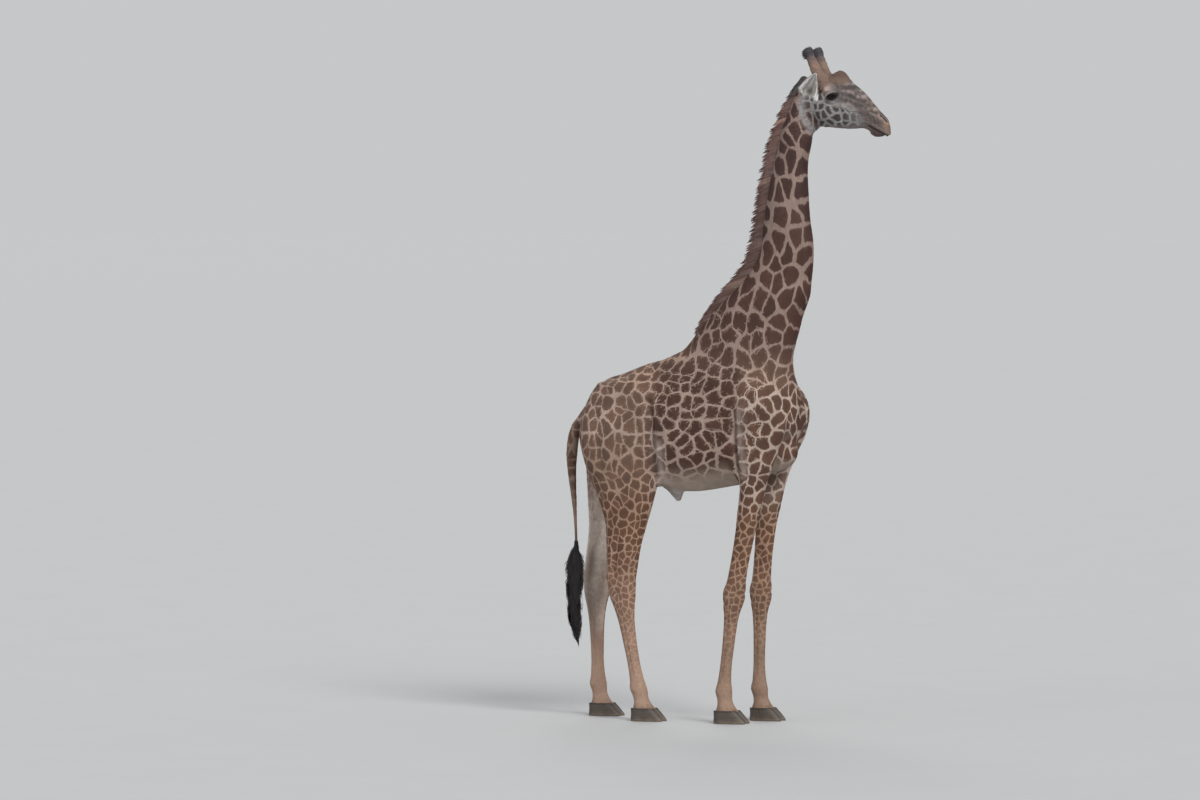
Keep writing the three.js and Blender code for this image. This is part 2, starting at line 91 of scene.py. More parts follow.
HEAD = [
    (-262, 20, 55, 40, 0), (-240, 8, 100, 70, 0), (-195, -18, 145, 88, -0.05),
    (-130, -28, 178, 97, -0.12), (-60, -27, 190, 100, -0.2), (0, -26, 196, 98, -0.25),
    (35, -32, 193, 92, -0.25), (75, -50, 178, 82, -0.22), (118, -66, 162, 72, -0.15),
    (203, -99, 127, 59, -0.05), (263, -146, 110, 54, 0), (315, -186, 91, 56, 0),
    (354, -208, 74, 55, 0), (378, -229, 59, 46, 0), (393, -245, 36, 27, 0),
]
FOREHEAD_BUMP = [
    (-48, 118, 20, 16, 0), (-22, 128, 44, 36, 0), (15, 136, 52, 46, 0),
    (50, 122, 48, 42, 0), (92, 88, 30, 26, 0),
]
SHEATH = [
    (1553, -86, 14, 13, 0), (1575, -90, 33, 26, 0), (1620, -104, 62, 42, 0),
    (1670, -124, 98, 55, 0), (1740, -150, 130, 60, 0),
]
TAIL = [
    (2225, -765, 46, 38, 0), (2150, -815, 50, 42, 0), (2087, -862, 50, 42, 0),
    (2006, -893, 47, 40, 0), (1935, -905, 47, 39, 0), (1864, -911, 46, 37, 0),
    (1783, -911, 40, 33, 0), (1681, -904, 34, 29, 0), (1580, -895, 27, 24, 0),
    (1479, -887, 20, 18, 0), (1354, -880, 16, 15, 0), (1232, -875, 14, 13, 0),
]
TUFT = [
    (1236, -876, 17, 16, 0), (1190, -882, 38, 34, 0), (1113, -888, 60, 50, 0),
    (1014, -884, 60, 52, 0), (851, -890, 56, 48, 0), (695, -886, 48, 42, 0),
    (580, -874, 30, 27, 0), (490, -862, 9, 9, 0),
]
MANE = [
    (2725, 84, 52, 12, 0), (2785, 108, 66, 16, 0), (2879, 182, 82, 20, 0),
    (3020, 310, 108, 24, 0), (3120, 410, 118, 25, 0), (3212, 478, 106, 25, 0),
    (3403, 545, 106, 25, 0), (3687, 592, 104, 25, 0), (3829, 617, 104, 25, 0),
    (3970, 646, 102, 24, 0), (4100, 678, 98, 24, 0), (4200, 712, 92, 24, 0),
    (4290, 750, 90, 24, 0), (4380, 792, 82, 24, 0), (4460, 830, 66, 24, 0),
    (4520, 856, 46, 22, 0), (4560, 872, 20, 12, 0),
]
CLAW = [(0, 36, 118, 42, 0.28), (10, 36, 119, 43, 0.28), (52, 20, 100, 41, 0.2), (92, 0, 82, 36, 0.1)]
# A leg's girth: height, half length, half width. A leg's line: height, place forwards, sideways.
FORE_GIRTH = [
    (2470, 105, 58), (2350, 180, 82), (2200, 205, 96), (2050, 185, 97), (1900, 150, 89),
    (1780, 120, 80), (1650, 101, 70), (1500, 90, 62), (1350, 79, 56), (1150, 71, 51),
    (1010, 73, 54), (920, 82, 60), (850, 79, 58), (780, 62, 50), (700, 53, 43), (550, 47, 39),
    (400, 46, 38), (300, 52, 44), (230, 62, 54), (160, 58, 54), (110, 70, 68), (84, 84, 80),
]
HIND_GIRTH = [
    (2400, 170, 56), (2300, 230, 88), (2150, 284, 115), (2000, 300, 128), (1850, 285, 122),
    (1700, 260, 106), (1550, 212, 90), (1400, 165, 74), (1250, 138, 63), (1100, 122, 56),
    (1000, 112, 53), (920, 106, 54), (860, 96, 52), (800, 81, 48), (700, 64, 43), (550, 54, 40),
    (400, 50, 39), (300, 55, 45), (230, 64, 54), (160, 59, 54), (110, 70, 68), (84, 84, 80),
]
LEG_LINES = {
    "fore_right": [
        (2470, 540, 170), (2350, 575, 195), (2200, 615, 202), (2050, 612, 200), (1900, 590, 190),
        (1780, 570, 184), (1650, 545, 176), (1350, 490, 171), (920, 408, 170), (550, 363, 174),
        (230, 334, 181), (84, 356, 184),
    ],
    "fore_left": [
        (2470, 545, 170), (2350, 595, 195), (2200, 626, 202), (2050, 625, 200), (1900, 595, 190),
        (1780, 575, 184), (1650, 555, 176), (1350, 510, 171), (920, 475, 170), (550, 463, 174),
        (230, 462, 181), (84, 486, 184),
    ],
    "hind_right": [
        (2400, -480, 130), (2300, -482, 145), (2150, -484, 160), (2000, -480, 172),
        (1850, -460, 178), (1700, -432, 178), (1450, -412, 176), (1300, -430, 173),
        (1100, -448, 170), (900, -450, 168), (800, -434, 168), (550, -388, 171),
        (230, -318, 180), (84, -276, 184),
    ],
    "hind_left": [
        (2400, -490, 130), (2300, -508, 145), (2150, -530, 160), (2000, -562, 172),
        (1850, -610, 178), (1700, -645, 178), (1450, -680, 176), (1300, -712, 173),
        (1100, -758, 170), (900, -784, 168), (800, -788, 168), (550, -785, 171),
        (230, -778, 180), (84, -752, 184),
    ],
}
# Swellings: place, half sizes; those off the midline come in pairs.
BODY_LUMPS = [
    ((-330, 150, 2270), (260, 118, 160)), ((-330, 150, 1830), (210, 128, 190)),
    ((700, 120, 2190), (160, 110, 180)), ((600, 0, 1920), (220, 150, 160)),
    ((490, 165, 1790), (90, 70, 100)),
]
HEAD_LUMPS = [  # with how widely each blends into the head
    ((-34, 76, 42), (56, 40, 40), 14), ((-62, 62, -86), (98, 34, 84), 18),
    ((328, 33, -167), (38, 23, 27), 16), ((300, 0, -246), (54, 38, 38), 16),
    ((-203, 0, -192), (54, 48, 50), 48),
]
HORN_PROFILE = [
    (0, 0), (0, 58), (0.14, 50), (0.28, 39), (0.45, 36), (0.62, 32), (0.74, 31),
    (0.85, 36), (0.93, 34), (0.985, 22), (1, 0),
]


# ---------------------------------------------------------------- tables and small sums
def spans(rows, at):
    """The rows of a table at any places along it: a cubic in each span that keeps the slope of its
    neighbours, so that the whole is one smooth curve."""
    rows = np.array(sorted(rows), float)
    s, last = rows[:, 0], len(rows) - 1
    before, after = np.maximum(np.arange(last + 1) - 1, 0), np.minimum(np.arange(last + 1) + 1, last)
    slopes = (rows[after] - rows[before]) / (s[after] - s[before])[:, None]
    at = np.clip(at, s[0], s[-1])
    i = np.clip(np.searchsorted(s, at, "right") - 1, 0, last - 1)
    span = (s[i + 1] - s[i])[:, None]
    t = (at[:, None] - s[i][:, None]) / span
    step, lead, trail = t * t * (3 - 2 * t), t * (1 - t) ** 2, t * t * (t - 1)
    bent = span * (slopes[i] * lead + slopes[i + 1] * trail)
    return rows[i] + (rows[i + 1] - rows[i]) * step + bent


def table(rows, at, column=1):
    """One column of a table at any places, by straight lines between its rows."""
    rows = np.array(sorted(rows), float)
    return np.interp(at, rows[:, 0], rows[:, column])


def ramp(x, low, high):
    """0 below low, 1 above high and smooth between; low may be the larger."""
    t = np.clip((x - low) / (high - low), 0, 1)
    return t * t * (3 - 2 * t)


def bell(distance, width):
    """1 at no distance, falling off as a bell of that width."""
    return np.exp(-((distance / width) ** 2))


def soft_min(a, b, k):
    """The lesser of two fields, rounded where they are within k of each other."""
    h = np.maximum(k - np.abs(a - b), 0) / max(k, 1e-6)
    return np.minimum(a, b) - h * h * k / 4


def unit(v):
    """Arrows of the same direction, one long."""
    return v / np.maximum(np.linalg.norm(v, axis=-1, keepdims=True), 1e-9)


def circle(sides):
    """Even angles round a full turn."""
    return np.arange(sides) * 2 * np.pi / sides


def leaning(d, lean):
    """How far offsets go along a line in the head's u-w plane, and how far above it. The line is
    given by the cosine and the sine of its lean."""
    c, s = lean
    return d[:, 0] * c + d[:, 2] * s, d[:, 2] * c - d[:, 0] * s


def to_head(points):
    """Body frame to head frame."""
    d = points - HEAD_PLACE
    c, s = np.cos(HEAD_TURN), np.sin(HEAD_TURN)
    return np.stack([c * d[:, 0] + s * d[:, 1], c * d[:, 1] - s * d[:, 0], d[:, 2]], 1)


def from_head(points):
    """Head frame to body frame."""
    c, s = np.cos(HEAD_TURN), np.sin(HEAD_TURN)
    turned = [c * points[:, 0] - s * points[:, 1], s * points[:, 0] + c * points[:, 1], points[:, 2]]
    return np.stack(turned, 1) + HEAD_PLACE


def mirrored(points):
    """The head frame with both sides folded onto the left one."""
    h = to_head(points)
    return np.stack([h[:, 0], np.abs(h[:, 1]), h[:, 2]], 1)


def along(points, path):
    """Distance to a path of straight runs, and how far along it the nearest place is, 0 to 1."""
    path = np.array(path, float)
    best, place = np.full(len(points), 1e9), np.zeros(len(points))
    for n, (a, b) in enumerate(zip(path[:-1], path[1:])):
        t = np.clip((points - a) @ (b - a) / ((b - a) @ (b - a)), 0, 1)
        distance = np.linalg.norm(points - a - t[:, None] * (b - a), axis=1)
        closer = distance < best
        best[closer], place[closer] = distance[closer], ((n + t) / (len(path) - 1))[closer]
    return best, place


# ---------------------------------------------------------------- the flesh as one field
FAR = 60.0  # the field's value in mm away from everything
Shape = namedtuple("Shape", "distance low high blend")


def oval_shape(rows, axis, side_of=None, blend=40.0):
    """A stack of ovals. Its field is the distance to the oval at the point's own height along the
    axis, (g - 1) times g over the length of g's slope, where g is 1 on the oval, and the distance
    past the flat ends. An egg's width shrinks by its egg value towards the oval's far end."""
    first, last = min(r[0] for r in rows), max(r[0] for r in rows)
    step = 4.0
    at = np.arange(first, last + step, step)
    sideways = side_of(at) if side_of else np.zeros(len(at))
    ovals = np.hstack([spans(rows, at)[:, 1:], sideways[:, None]])
    up, out = (0, 2) if axis == "x" else (2, 0)

    def distance(points):
        """Negative inside and positive outside, in mm."""
        s = points[:, up]
        f = np.clip((s - first) / step, 0, len(ovals) - 1.001)
        i = f.astype(int)
        w = (f - i)[:, None]
        centre, half, width, egg, side = (ovals[i] * (1 - w) + ovals[i + 1] * w).T
        q = (points[:, out] - centre) / half
        width = width * (1 - egg * np.clip(q, -1, 1))
        r = (points[:, 1] - side) / width
        g = np.sqrt(q * q + r * r) + 1e-6
        radial = (g - 1) * g / np.sqrt((q / half) ** 2 + (r / width) ** 2 + 1e-12)
        ends = np.maximum(first - s, s - last)
        both = np.hypot(np.maximum(radial, 0), np.maximum(ends, 0))
        return both + np.minimum(np.maximum(radial, ends), 0)

    centre, half, width, egg, side = ovals.T
    reach = np.abs(width * (1 + np.abs(egg))).max()
    low, high = np.zeros(3), np.zeros(3)
    low[up], high[up] = first, last
    low[out], high[out] = (centre - half).min(), (centre + half).max()
    low[1], high[1] = side.min() - reach, side.max() + reach
    return Shape(distance, low, high, blend)


def lump_distance(points, centre, size):
    """Distance to an ellipsoid, from how far out a point lies on its own scaled sphere."""
    size = np.array(size, float)
    d = points - np.array(centre, float)
    g = np.linalg.norm(d / size, axis=1) + 1e-6
    return (g - 1) * g / (np.linalg.norm(d / size**2, axis=1) + 1e-9)


def head_shape(distance, low, high, blend):
    """A shape given in the folded head frame, as one in the body frame. It is on both sides."""
    spread = max(abs(low[1]), abs(high[1])) + 10
    corners = from_head(np.array([[low[0], 0, low[2]], [high[0], 0, high[2]]]))
    low, high = corners.min(0) - (15, spread + 25, 0), corners.max(0) + (15, spread + 25, 0)
    return Shape(lambda p: distance(mirrored(p)), low, high, blend)


HORN_AXIS = unit(HORN_TIP - HORN_BASE)
HORN_LENGTH = np.linalg.norm(HORN_TIP - HORN_BASE)


def horn_skirt(h):
    """The skin that rises up the horn's foot: a cone round the horn's axis."""
    t = (h - HORN_BASE) @ HORN_AXIS / HORN_LENGTH
    off = np.linalg.norm(h - HORN_BASE - t[:, None] * HORN_LENGTH * HORN_AXIS, axis=1)
    radius = np.interp(t, [-0.3, 0, 0.14, 0.28, 0.42, 0.5], [60, 58, 49, 38, 33, 29])
    return np.maximum(off - radius, np.maximum(t - 0.45, -0.3 - t) * HORN_LENGTH)


EAR_ALONG = unit(EAR_TIP - EAR_ROOT)
EAR_LENGTH = np.linalg.norm(EAR_TIP - EAR_ROOT)
EAR_ACROSS = np.array([-0.86, 0.1, 0.5])
EAR_ACROSS = unit(EAR_ACROSS - (EAR_ACROSS @ EAR_ALONG) * EAR_ALONG)
EAR_OUT = -np.cross(EAR_ALONG, EAR_ACROSS)


def ear_half(t):
    """The ear's half width and how far its middle lies back of its line, from its two edges."""
    rear, front = spans(EAR_EDGES, t)[:, 1:].T
    return (rear - front) / 2, (rear + front) / 2


def ear_place(h):
    """A point in the ear's own measures: how far up it (0 to 1), how far across (-1 to 1), how far
    off the cupped middle sheet, and the ear's half width there."""
    d = h - EAR_ROOT
    t = d @ EAR_ALONG / EAR_LENGTH
    tc = np.clip(t, 0, 1)
    half, lean = ear_half(tc)
    half = half + 0.5
    u = (d @ EAR_ACROSS - lean) / half
    lift = d @ EAR_OUT - EAR_CUP * half * (np.clip(np.abs(u), 0, 1.3) ** 2 - 0.6)
    return t, u, lift, half


def ear_sheet(h):
    """A thin cupped leaf: the distance off its middle sheet, over the length of the sheet's slope,
    less its half thickness, which shrinks towards the rim and grows at the root; cut off at the
    rim and both ends."""
    t, u, lift, half = ear_place(h)
    off_middle = np.clip(np.abs(u), 0, 1)
    thick = (EAR_THICKNESS / 2 + 2.0) * (1 - 0.35 * off_middle**2) + 6 * ramp(t, 0.25, -0.05)
    sheet = np.abs(lift) / np.hypot(1, 2 * EAR_CUP * off_middle) - thick
    rim = (np.abs(u) - 1) * half
    ends = np.maximum(t - 1, -0.15 - t) * EAR_LENGTH
    return -soft_min(-sheet, -np.maximum(rim, ends), 6.0)


def eye_opening(h):
    """The gap between the lids, as seen along the eye's own outward line: an almond whose front
    corner is the higher one. Negative inside the gap and outside the eyeball."""
    d = h - EYE
    a, b = leaning(d, LID_LEAN)
    arch = np.clip(1 - (a / LID_HALF) ** 2, 0, 1)
    gap = np.maximum(b - 11.5 * arch**0.8, -b - 17.5 * arch**0.7)
    gap = np.maximum(gap, np.abs(a) - LID_HALF)
    gap = np.maximum(gap, 55 - h[:, 1])
    return np.maximum(gap, EYE_RADIUS - 1.5 - np.linalg.norm(d, axis=1))


def leg_line(leg, z, column):
    """Place forwards (1) or sideways (2) of a leg's middle line at heights z."""
    return spans(LEG_LINES[leg], z)[:, column] * (leg_side(leg) if column == 2 else 1)


def leg_side(leg):
    """-1 for a right leg and 1 for a left one."""
    return -1.0 if leg.endswith("right") else 1.0


def leg_girth(leg):
    """The girth of a fore or a hind leg."""
    return FORE_GIRTH if leg.startswith("fore") else HIND_GIRTH


def leg_shape(leg):
    """A leg: its girth's ovals, one for each height, strung on the leg's own line."""
    rows = [(z, leg_line(leg, np.array([float(z)]), 1)[0], half, width, 0)
            for z, half, width in leg_girth(leg)]
    return oval_shape(rows, "z", lambda z: leg_line(leg, z, 2), blend=45.0)


def lump(kind, centre, size, blend):
    """An ellipsoid, made by `kind`: Shape in the body's frame or head_shape in the head's."""
    centre, size = np.array(centre, float), np.array(size, float)
    return kind(lambda p: lump_distance(p, centre, size), centre - size, centre + size, blend)


def flesh_shapes():
    """Every part of the flesh, in the order in which they are blended."""
    shapes = [oval_shape(TRUNK, "x"), oval_shape(NECK, "z", blend=70), oval_shape(SHEATH, "z", blend=30)]
    for (x, y, z), size in BODY_LUMPS:
        shapes += [lump(Shape, (x, side * y, z), size, 60.0) for side in ((-1, 1) if y else (1,))]
    shapes += [leg_shape(leg) for leg in LEG_LINES]
    shapes.append(oval_shape(TAIL, "z", blend=26))
    for rows, blend in ((HEAD, 60), (FOREHEAD_BUMP, 16)):
        stack = oval_shape(rows, "x")
        shapes.append(head_shape(stack.distance, stack.low, stack.high, blend))
    shapes += [lump(head_shape, *row) for row in HEAD_LUMPS]
    lids = EYE_RADIUS + LID_THICKNESS
    shapes.append(head_shape(
        lambda h: np.linalg.norm(h - EYE, axis=1) - lids, EYE - lids, EYE + lids, 13.0))
    shapes.append(head_shape(horn_skirt, (-260, 0, 40), (-50, 140, 260), 30.0))
    shapes.append(head_shape(ear_sheet, (-290, 40, -70), (-60, 230, 200), 14.0))
    return shapes


SHAPES = flesh_shapes()


def field(points):
    """Signed distance in mm to the outside of the coat: every shape blended into one."""
    value = np.full(len(points), FAR)
    for shape in SHAPES:
        near = np.flatnonzero(np.all((points > shape.low - FAR) & (points < shape.high + FAR), axis=1))
        if len(near):
            distance = np.minimum(shape.distance(points[near]), FAR)
            value[near] = soft_min(value[near], distance, shape.blend)
    return value


def head_share(points):
    """1 on the head, 0 on the neck, across the line from the poll to the throat."""
    a, b = HEAD_LINE
    across = np.array([b[1] - a[1], a[0] - b[0]]) / np.linalg.norm(b - a)
    return ramp(-((points[:, [0, 2]] - a) @ across), -45, 35) * ramp(points[:, 2], 4040, 4110)


RUN_OUT = 0.12  # the share of a crease's path over which each of its ends runs out


def crease(points, path, depth, width):
    """A groove with a bell section along a path, running out at both ends."""
    distance, place = along(points, path)
    return -depth * bell(distance, width) * ramp(place, 0, RUN_OUT) * ramp(place, 1, 1 - RUN_OUT)


RIB_PITCH = 88.0
BODY_CREASES = [  # path in x and z on both flanks, depth (a ridge if below zero), width
    ([(432, 2240), (444, 2120), (447, 1950), (450, 1830), (468, 1750)], 24, 13),
    ([(536, 2270), (545, 2100), (530, 1920), (520, 1800)], -10, 44),
    ([(-222, 2310), (-196, 2160), (-182, 2000), (-174, 1850), (-196, 1690)], 32, 27),
    ([(-268, 2260), (-256, 2050), (-246, 1860)], -11, 42),
    ([(-170, 2290), (-60, 2330), (60, 2330)], 6, 34),
    ([(560, 2020), (600, 1940), (615, 1850)], 6, 22),
    ([(640, 2120), (668, 1980), (650, 1860)], 7, 24),
    ([(-420, 2330), (-560, 2240), (-690, 2200)], 6, 34),
    ([(580, 2470), (650, 2360), (716, 2230)], 9, 40),
    ([(-640, 2270), (-615, 2080), (-580, 1880), (-540, 1660)], 8, 30),
    ([(400, 2500), (430, 2400), (440, 2280)], 7, 42),
    ([(640, 2450), (760, 2900), (850, 3300), (880, 3700), (880, 4050)], 9, 30),
    ([(420, 2500), (560, 2800), (690, 3150), (730, 3500)], 6, 46),
    ([(450, 1790), (500, 1742), (560, 1735)], 10, 15),
    ([(418, 1850), (440, 1800), (452, 1756)], 8, 12),
]
HEAD_CREASES = [  # path in u and w on both cheeks, depth, width
    ([(36, -62), (110, -86), (190, -112), (236, -130)], -6, 17),
    ([(70, 20), (140, -22), (215, -72), (262, -110)], 7, 26),
    ([(-150, 66), (-112, 50), (-92, 20)], 9, 26),
    ([(-70, -36), (-34, -55), (8, -55), (44, -38)], 3.5, 6),
    ([(-84, -52), (-40, -74), (14, -74), (62, -52)], 2.6, 7),
    ([(-84, 26), (-84, 62), (-58, 92), (-14, 96), (18, 74), (30, 44)], 6, 10),
    ([(-56, 40), (-40, 54), (-22, 56)], -6, 24),
    ([(-70, 16), (-44, 28), (-12, 30), (18, 26)], 4, 5),
    ([(-146, -50), (-168, -120), (-150, -196)], 7, 16),
    ([(34, -70), (58, -120), (44, -180)], 5, 15),
    ([(92, -106), (120, -140), (126, -176)], 3, 9),
    ([(296, -122), (318, -152), (326, -196)], 3.5, 6),
    ([(268, -120), (292, -158), (298, -206)], 3, 7),
    ([(236, -118), (262, -160), (262, -200)], 2.4, 8),
    ([(196, -196), (178, -186), (160, -190)], 4, 8),
    ([(-236, -40), (-246, -130), (-222, -222), (-188, -262)], 3, 12),
    ([(-262, -70), (-278, -170), (-262, -270)], 3, 12),
]


def ripples(points, scale, seed):
    """Soft lumpy noise from a few crossed sine waves, about -1 to 1."""
    turn = np.random.default_rng(seed)
    total = np.zeros(len(points))
    for _ in range(6):
        k = turn.normal(size=3)
        k *= turn.uniform(0.7, 1.5) * 2 * np.pi / scale / np.linalg.norm(k)
        total += np.sin(points @ k + turn.uniform(0, 6.28))
    return total / 3


# Knobs and hollows of the legs: height of the swelling, its place ahead of the leg's line and up,
# how much the way up counts, its width. Those on the flanks alone end with True.
ANY_LEG = [(7, -40, 226, 1, 30), (-4, 20, 165, 1, 24)]
FORE_LEG = [(9, -60, 935, 0.8, 30), (-6, -58, 850, 1, 24), (5, 52, 955, 1, 26), (6, 56, 880, 1, 24),
            (-4, 4, 925, 1, 30, True)]
HIND_LEG = [(14, -92, 1010, 0.7, 32), (7, 18, 905, 1, 28, True), (-7, -30, 900, 1, 22, True),
            (-5, 84, 1010, 1, 30), (5, 66, 880, 1, 30)]


def knobs(rows, x, z, flank):
    """The sum of a leg's knobs: each is a bell of the distance from its middle."""
    total = np.zeros(len(x))
    for height, ahead, up, upward, width, *on_flank in rows:
        knob = height * bell(np.hypot(x - ahead, (z - up) * upward), width)
        total += knob * flank if on_flank else knob
    return total


def leg_relief(points):
    """Bones, tendons and joints of the four legs, placed by height and distance from the leg's
    line: the knobs, the groove before the tendon, and the furrow between the upper muscles."""
    out = np.zeros(len(points))
    for leg in LEG_LINES:
        sideways = np.abs(points[:, 1] - leg_side(leg) * LEG_MIDDLE)
        ahead = np.abs(points[:, 0] - leg_line(leg, points[:, 2], 1))
        near = np.flatnonzero((points[:, 2] < 1450) & (sideways < 165) & (ahead < 260))
        if not len(near):
            continue
        z = points[near, 2]
        x = points[near, 0] - leg_line(leg, z, 1)
        flank = ramp(np.abs(points[near, 1] - leg_line(leg, z, 2)), 12, 30)
        total = knobs(ANY_LEG, x, z, flank)
        total -= 5.5 * bell(x + 13, 8) * flank * ramp(z, 290, 360) * ramp(z, 830, 740)
        if leg.startswith("fore"):
            total += knobs(FORE_LEG, x, z, flank) - 5 * bell(z - 918, 9) * ramp(x, 10, 40)
            furrow = 6 * bell(x + 5 - 0.06 * (z - 1200), 16) * ramp(z, 1000, 1080) * ramp(z, 1420, 1320)
        else:
            total += knobs(HIND_LEG, x, z, flank)
            furrow = 15 * bell(x + 44 - 0.05 * (z - 1100), 22) * ramp(z, 960, 1040) * ramp(z, 1400, 1240)
        out[near] += total - furrow * flank
    return out


def body_relief(p):
    """Folds, muscles and ribs of the trunk and the neck: the creases, a hip bone, a row of sine
    waves for the ribs, and a light unevenness."""
    x, z = p[:, 0], p[:, 2]
    flank = ramp(np.abs(p[:, 1]), 45, 110 - 0.03 * np.clip(z - 2500, 0, 1500))
    total = sum(crease(p[:, [0, 2]], *c) for c in BODY_CREASES) * flank
    total += 10 * bell(np.linalg.norm((p - (-330, 0, 2345)) * (1, 0, 1), axis=1), 70) * flank
    ribs = 2.4 * np.sin((x + 0.22 * z) * 2 * np.pi / RIB_PITCH)
    total += ribs * ramp(x, -190, -60) * ramp(x, 400, 250) * ramp(z, 1850, 1980) * ramp(z, 2450, 2300)
    return total + 1.6 * ripples(p, 190, 3)


def head_relief(h):
    """Folds of the head, in its folded frame: the cheeks' creases, the nostril's slit in its raised
    rim, a pit before the chin, the mouth and its lips, sine waves for the muzzle's wrinkles, a
    hollow before the horns, unevenness, more on the forehead, and a cosine for the ear's ribs."""
    t, u, lift, _ = ear_place(h)
    on_ear = ramp(t, 0.08, 0.25) * (np.abs(lift) < 22) * (np.abs(u) < 1.3)
    off_ear = 1 - on_ear
    cheek = ramp(h[:, 1], 16, 34) * off_ear
    total = sum(crease(h[:, [0, 2]], *c) for c in HEAD_CREASES) * cheek
    slit, place = along(h, NOSTRIL)
    total += 4.5 * bell(slit - 14, 7) * ramp(nose_height(h), -150, -165)
    total -= 14 * bell(slit, 6.0) * ramp(place, -0.2, 0.1)
    total -= 12 * bell(np.hypot(h[:, 0] - 362, h[:, 2] + 279), 13)
    lips, place = along(h[:, [0, 2]], MOUTH)
    total -= 8.5 * bell(lips, 6.0) * ramp(place, 1, 0.8)
    total += 3.5 * bell(lips - 15, 9) * ramp(lip_height(h), -232, -216)
    wander = 2.2 * ripples(h, 75, 31)
    wrinkles = np.sin(h[:, 2] * 0.36 + h[:, 0] * 0.12 + wander) * (0.55 + 0.45 * np.sin(wander * 2 + 1))
    total += 1.3 * wrinkles * ramp(h[:, 0], 225, 300) * cheek * ramp(slit, 16, 30)
    total -= 8 * bell(np.linalg.norm((h - (-64, 22, 116)) * (1, 0.5, 0.8), axis=1), 20) * off_ear
    total += 2.2 * ripples(h, 34, 5) * ramp(h[:, 2], 60, 110) * off_ear
    total += 1.0 * ripples(h, 22, 6) * off_ear
    return total + 1.5 * np.cos(u * 13) * on_ear * (lift > 0) * ramp(t, 0.95, 0.7)


def nose_height(h):
    """Height above the slanted line under the nostril."""
    return h[:, 2] + 1.1 * (h[:, 0] - 360)


def lip_height(h):
    """Height above a line along the mouth."""
    return h[:, 2] + 0.5 * (h[:, 0] - 300)


def relief(points):
    """How far the skin stands out from the blended flesh, in mm, by folds, bones and muscles."""
    out = leg_relief(points)
    body = np.flatnonzero((points[:, 2] > 1500) & (points[:, 2] < 4120))
    if len(body):
        out[body] += body_relief(points[body])
    head = np.flatnonzero((points[:, 2] > 4080) & (points[:, 0] > 640))
    if len(head):
        out[head] += head_relief(mirrored(points[head]))
    return out


def coat_depth(points):
    """How far the skin lies under the coat's outside: 4 mm on the lower legs and 7.5 mm on the
    body, 3 mm on the face and half of that on the thin sheet of the ears."""
    body = 4.0 + 3.5 * ramp(points[:, 2], 900, 1700)
    on_head = head_share(points)
    _, u, lift, _ = ear_place(mirrored(points))
    on_ear = (np.abs(u) < 1.4) * (np.abs(lift) < 16) * (points[:, 2] > 4380) * (to_head(points)[:, 0] < -60)
    return body + (3.0 - body) * on_head - 1.5 * on_head * on_ear


def skin(points):
    """Signed distance to the skin: the field, moved in by the coat's depth and out by the relief,
    with the gaps between the lids cut out of it."""
    value = field(points) + coat_depth(points) - relief(points)
    h = mirrored(points)
    near = np.flatnonzero(np.linalg.norm(h - EYE, axis=1) < 70)
    if len(near):
        value[near] = -soft_min(-value[near], eye_opening(h[near]), 2.5)
    return value


def slope(points, reach=1.2):
    """The skin field and its slope, from four points of a small tetrahedron."""
    value, gradient = np.zeros(len(points)), np.zeros((len(points), 3))
    for corner in np.array([(1, -1, -1), (-1, -1, 1), (-1, 1, -1), (1, 1, 1)], float):
        sample = skin(points + reach * corner)
        value += sample / 4
        gradient += corner * sample[:, None] / (4 * reach)
    return value, gradient


# ---------------------------------------------------------------- meshing the field
COARSE = 4  # voxels to a step of the coarse grid that finds where the surface is
NECK_LEVEL, LEG_LEVEL, TAIL_LEVEL = 4100.0, 1400.0, 1900.0  # heights of the cuts between shells
ROOM = 3.0  # from a cut to each of the two shells that are joined over it
SHELLS = [  # the box, the side of a voxel, the thrift and the part of the shell that is kept
    ((-980, -330, LEG_LEVEL - 60), (1140, 330, NECK_LEVEL + 60), 14.0, 0.012,
     lambda p: (p[:, 2] > LEG_LEVEL + ROOM) & (p[:, 2] < NECK_LEVEL - ROOM)
     & ~((p[:, 0] < -800) & (p[:, 2] < TAIL_LEVEL + ROOM))),
    ((640, -250, NECK_LEVEL - 30), (1560, 250, 4760), 3.4, 0.028,
     lambda p: p[:, 2] > NECK_LEVEL + ROOM),
    ((-990, -280, 60), (680, 280, LEG_LEVEL + 30), 8.0, 0.03,
     lambda p: (p[:, 2] < LEG_LEVEL - ROOM) & (np.abs(p[:, 1]) > 70)),
    ((-975, -60, 1210), (-810, 60, TAIL_LEVEL + 30), 6.5, 0.02,
     lambda p: p[:, 2] < TAIL_LEVEL - ROOM),
]


def halved(points, quads):
    """Each face of four corners as two triangles, cut along the diagonal that leaves them the less
    bent: the one whose two triangles' normals have the larger dot product."""
    def halves(order):
        """Both triangles of each face, cut between its first and third corner, and the product."""
        corners = quads[:, order]
        a, b, c, d = points[corners].swapaxes(0, 1)
        bend = (unit(np.cross(b - a, c - a)) * unit(np.cross(c - a, d - a))).sum(1)
        return corners[:, :3], corners[:, [0, 2, 3]], bend

    one, other = halves([0, 1, 2, 3]), halves([1, 2, 3, 0])
    first = (one[2] >= other[2])[:, None]
    return np.concatenate([np.where(first, one[k], other[k]) for k in (0, 1)])


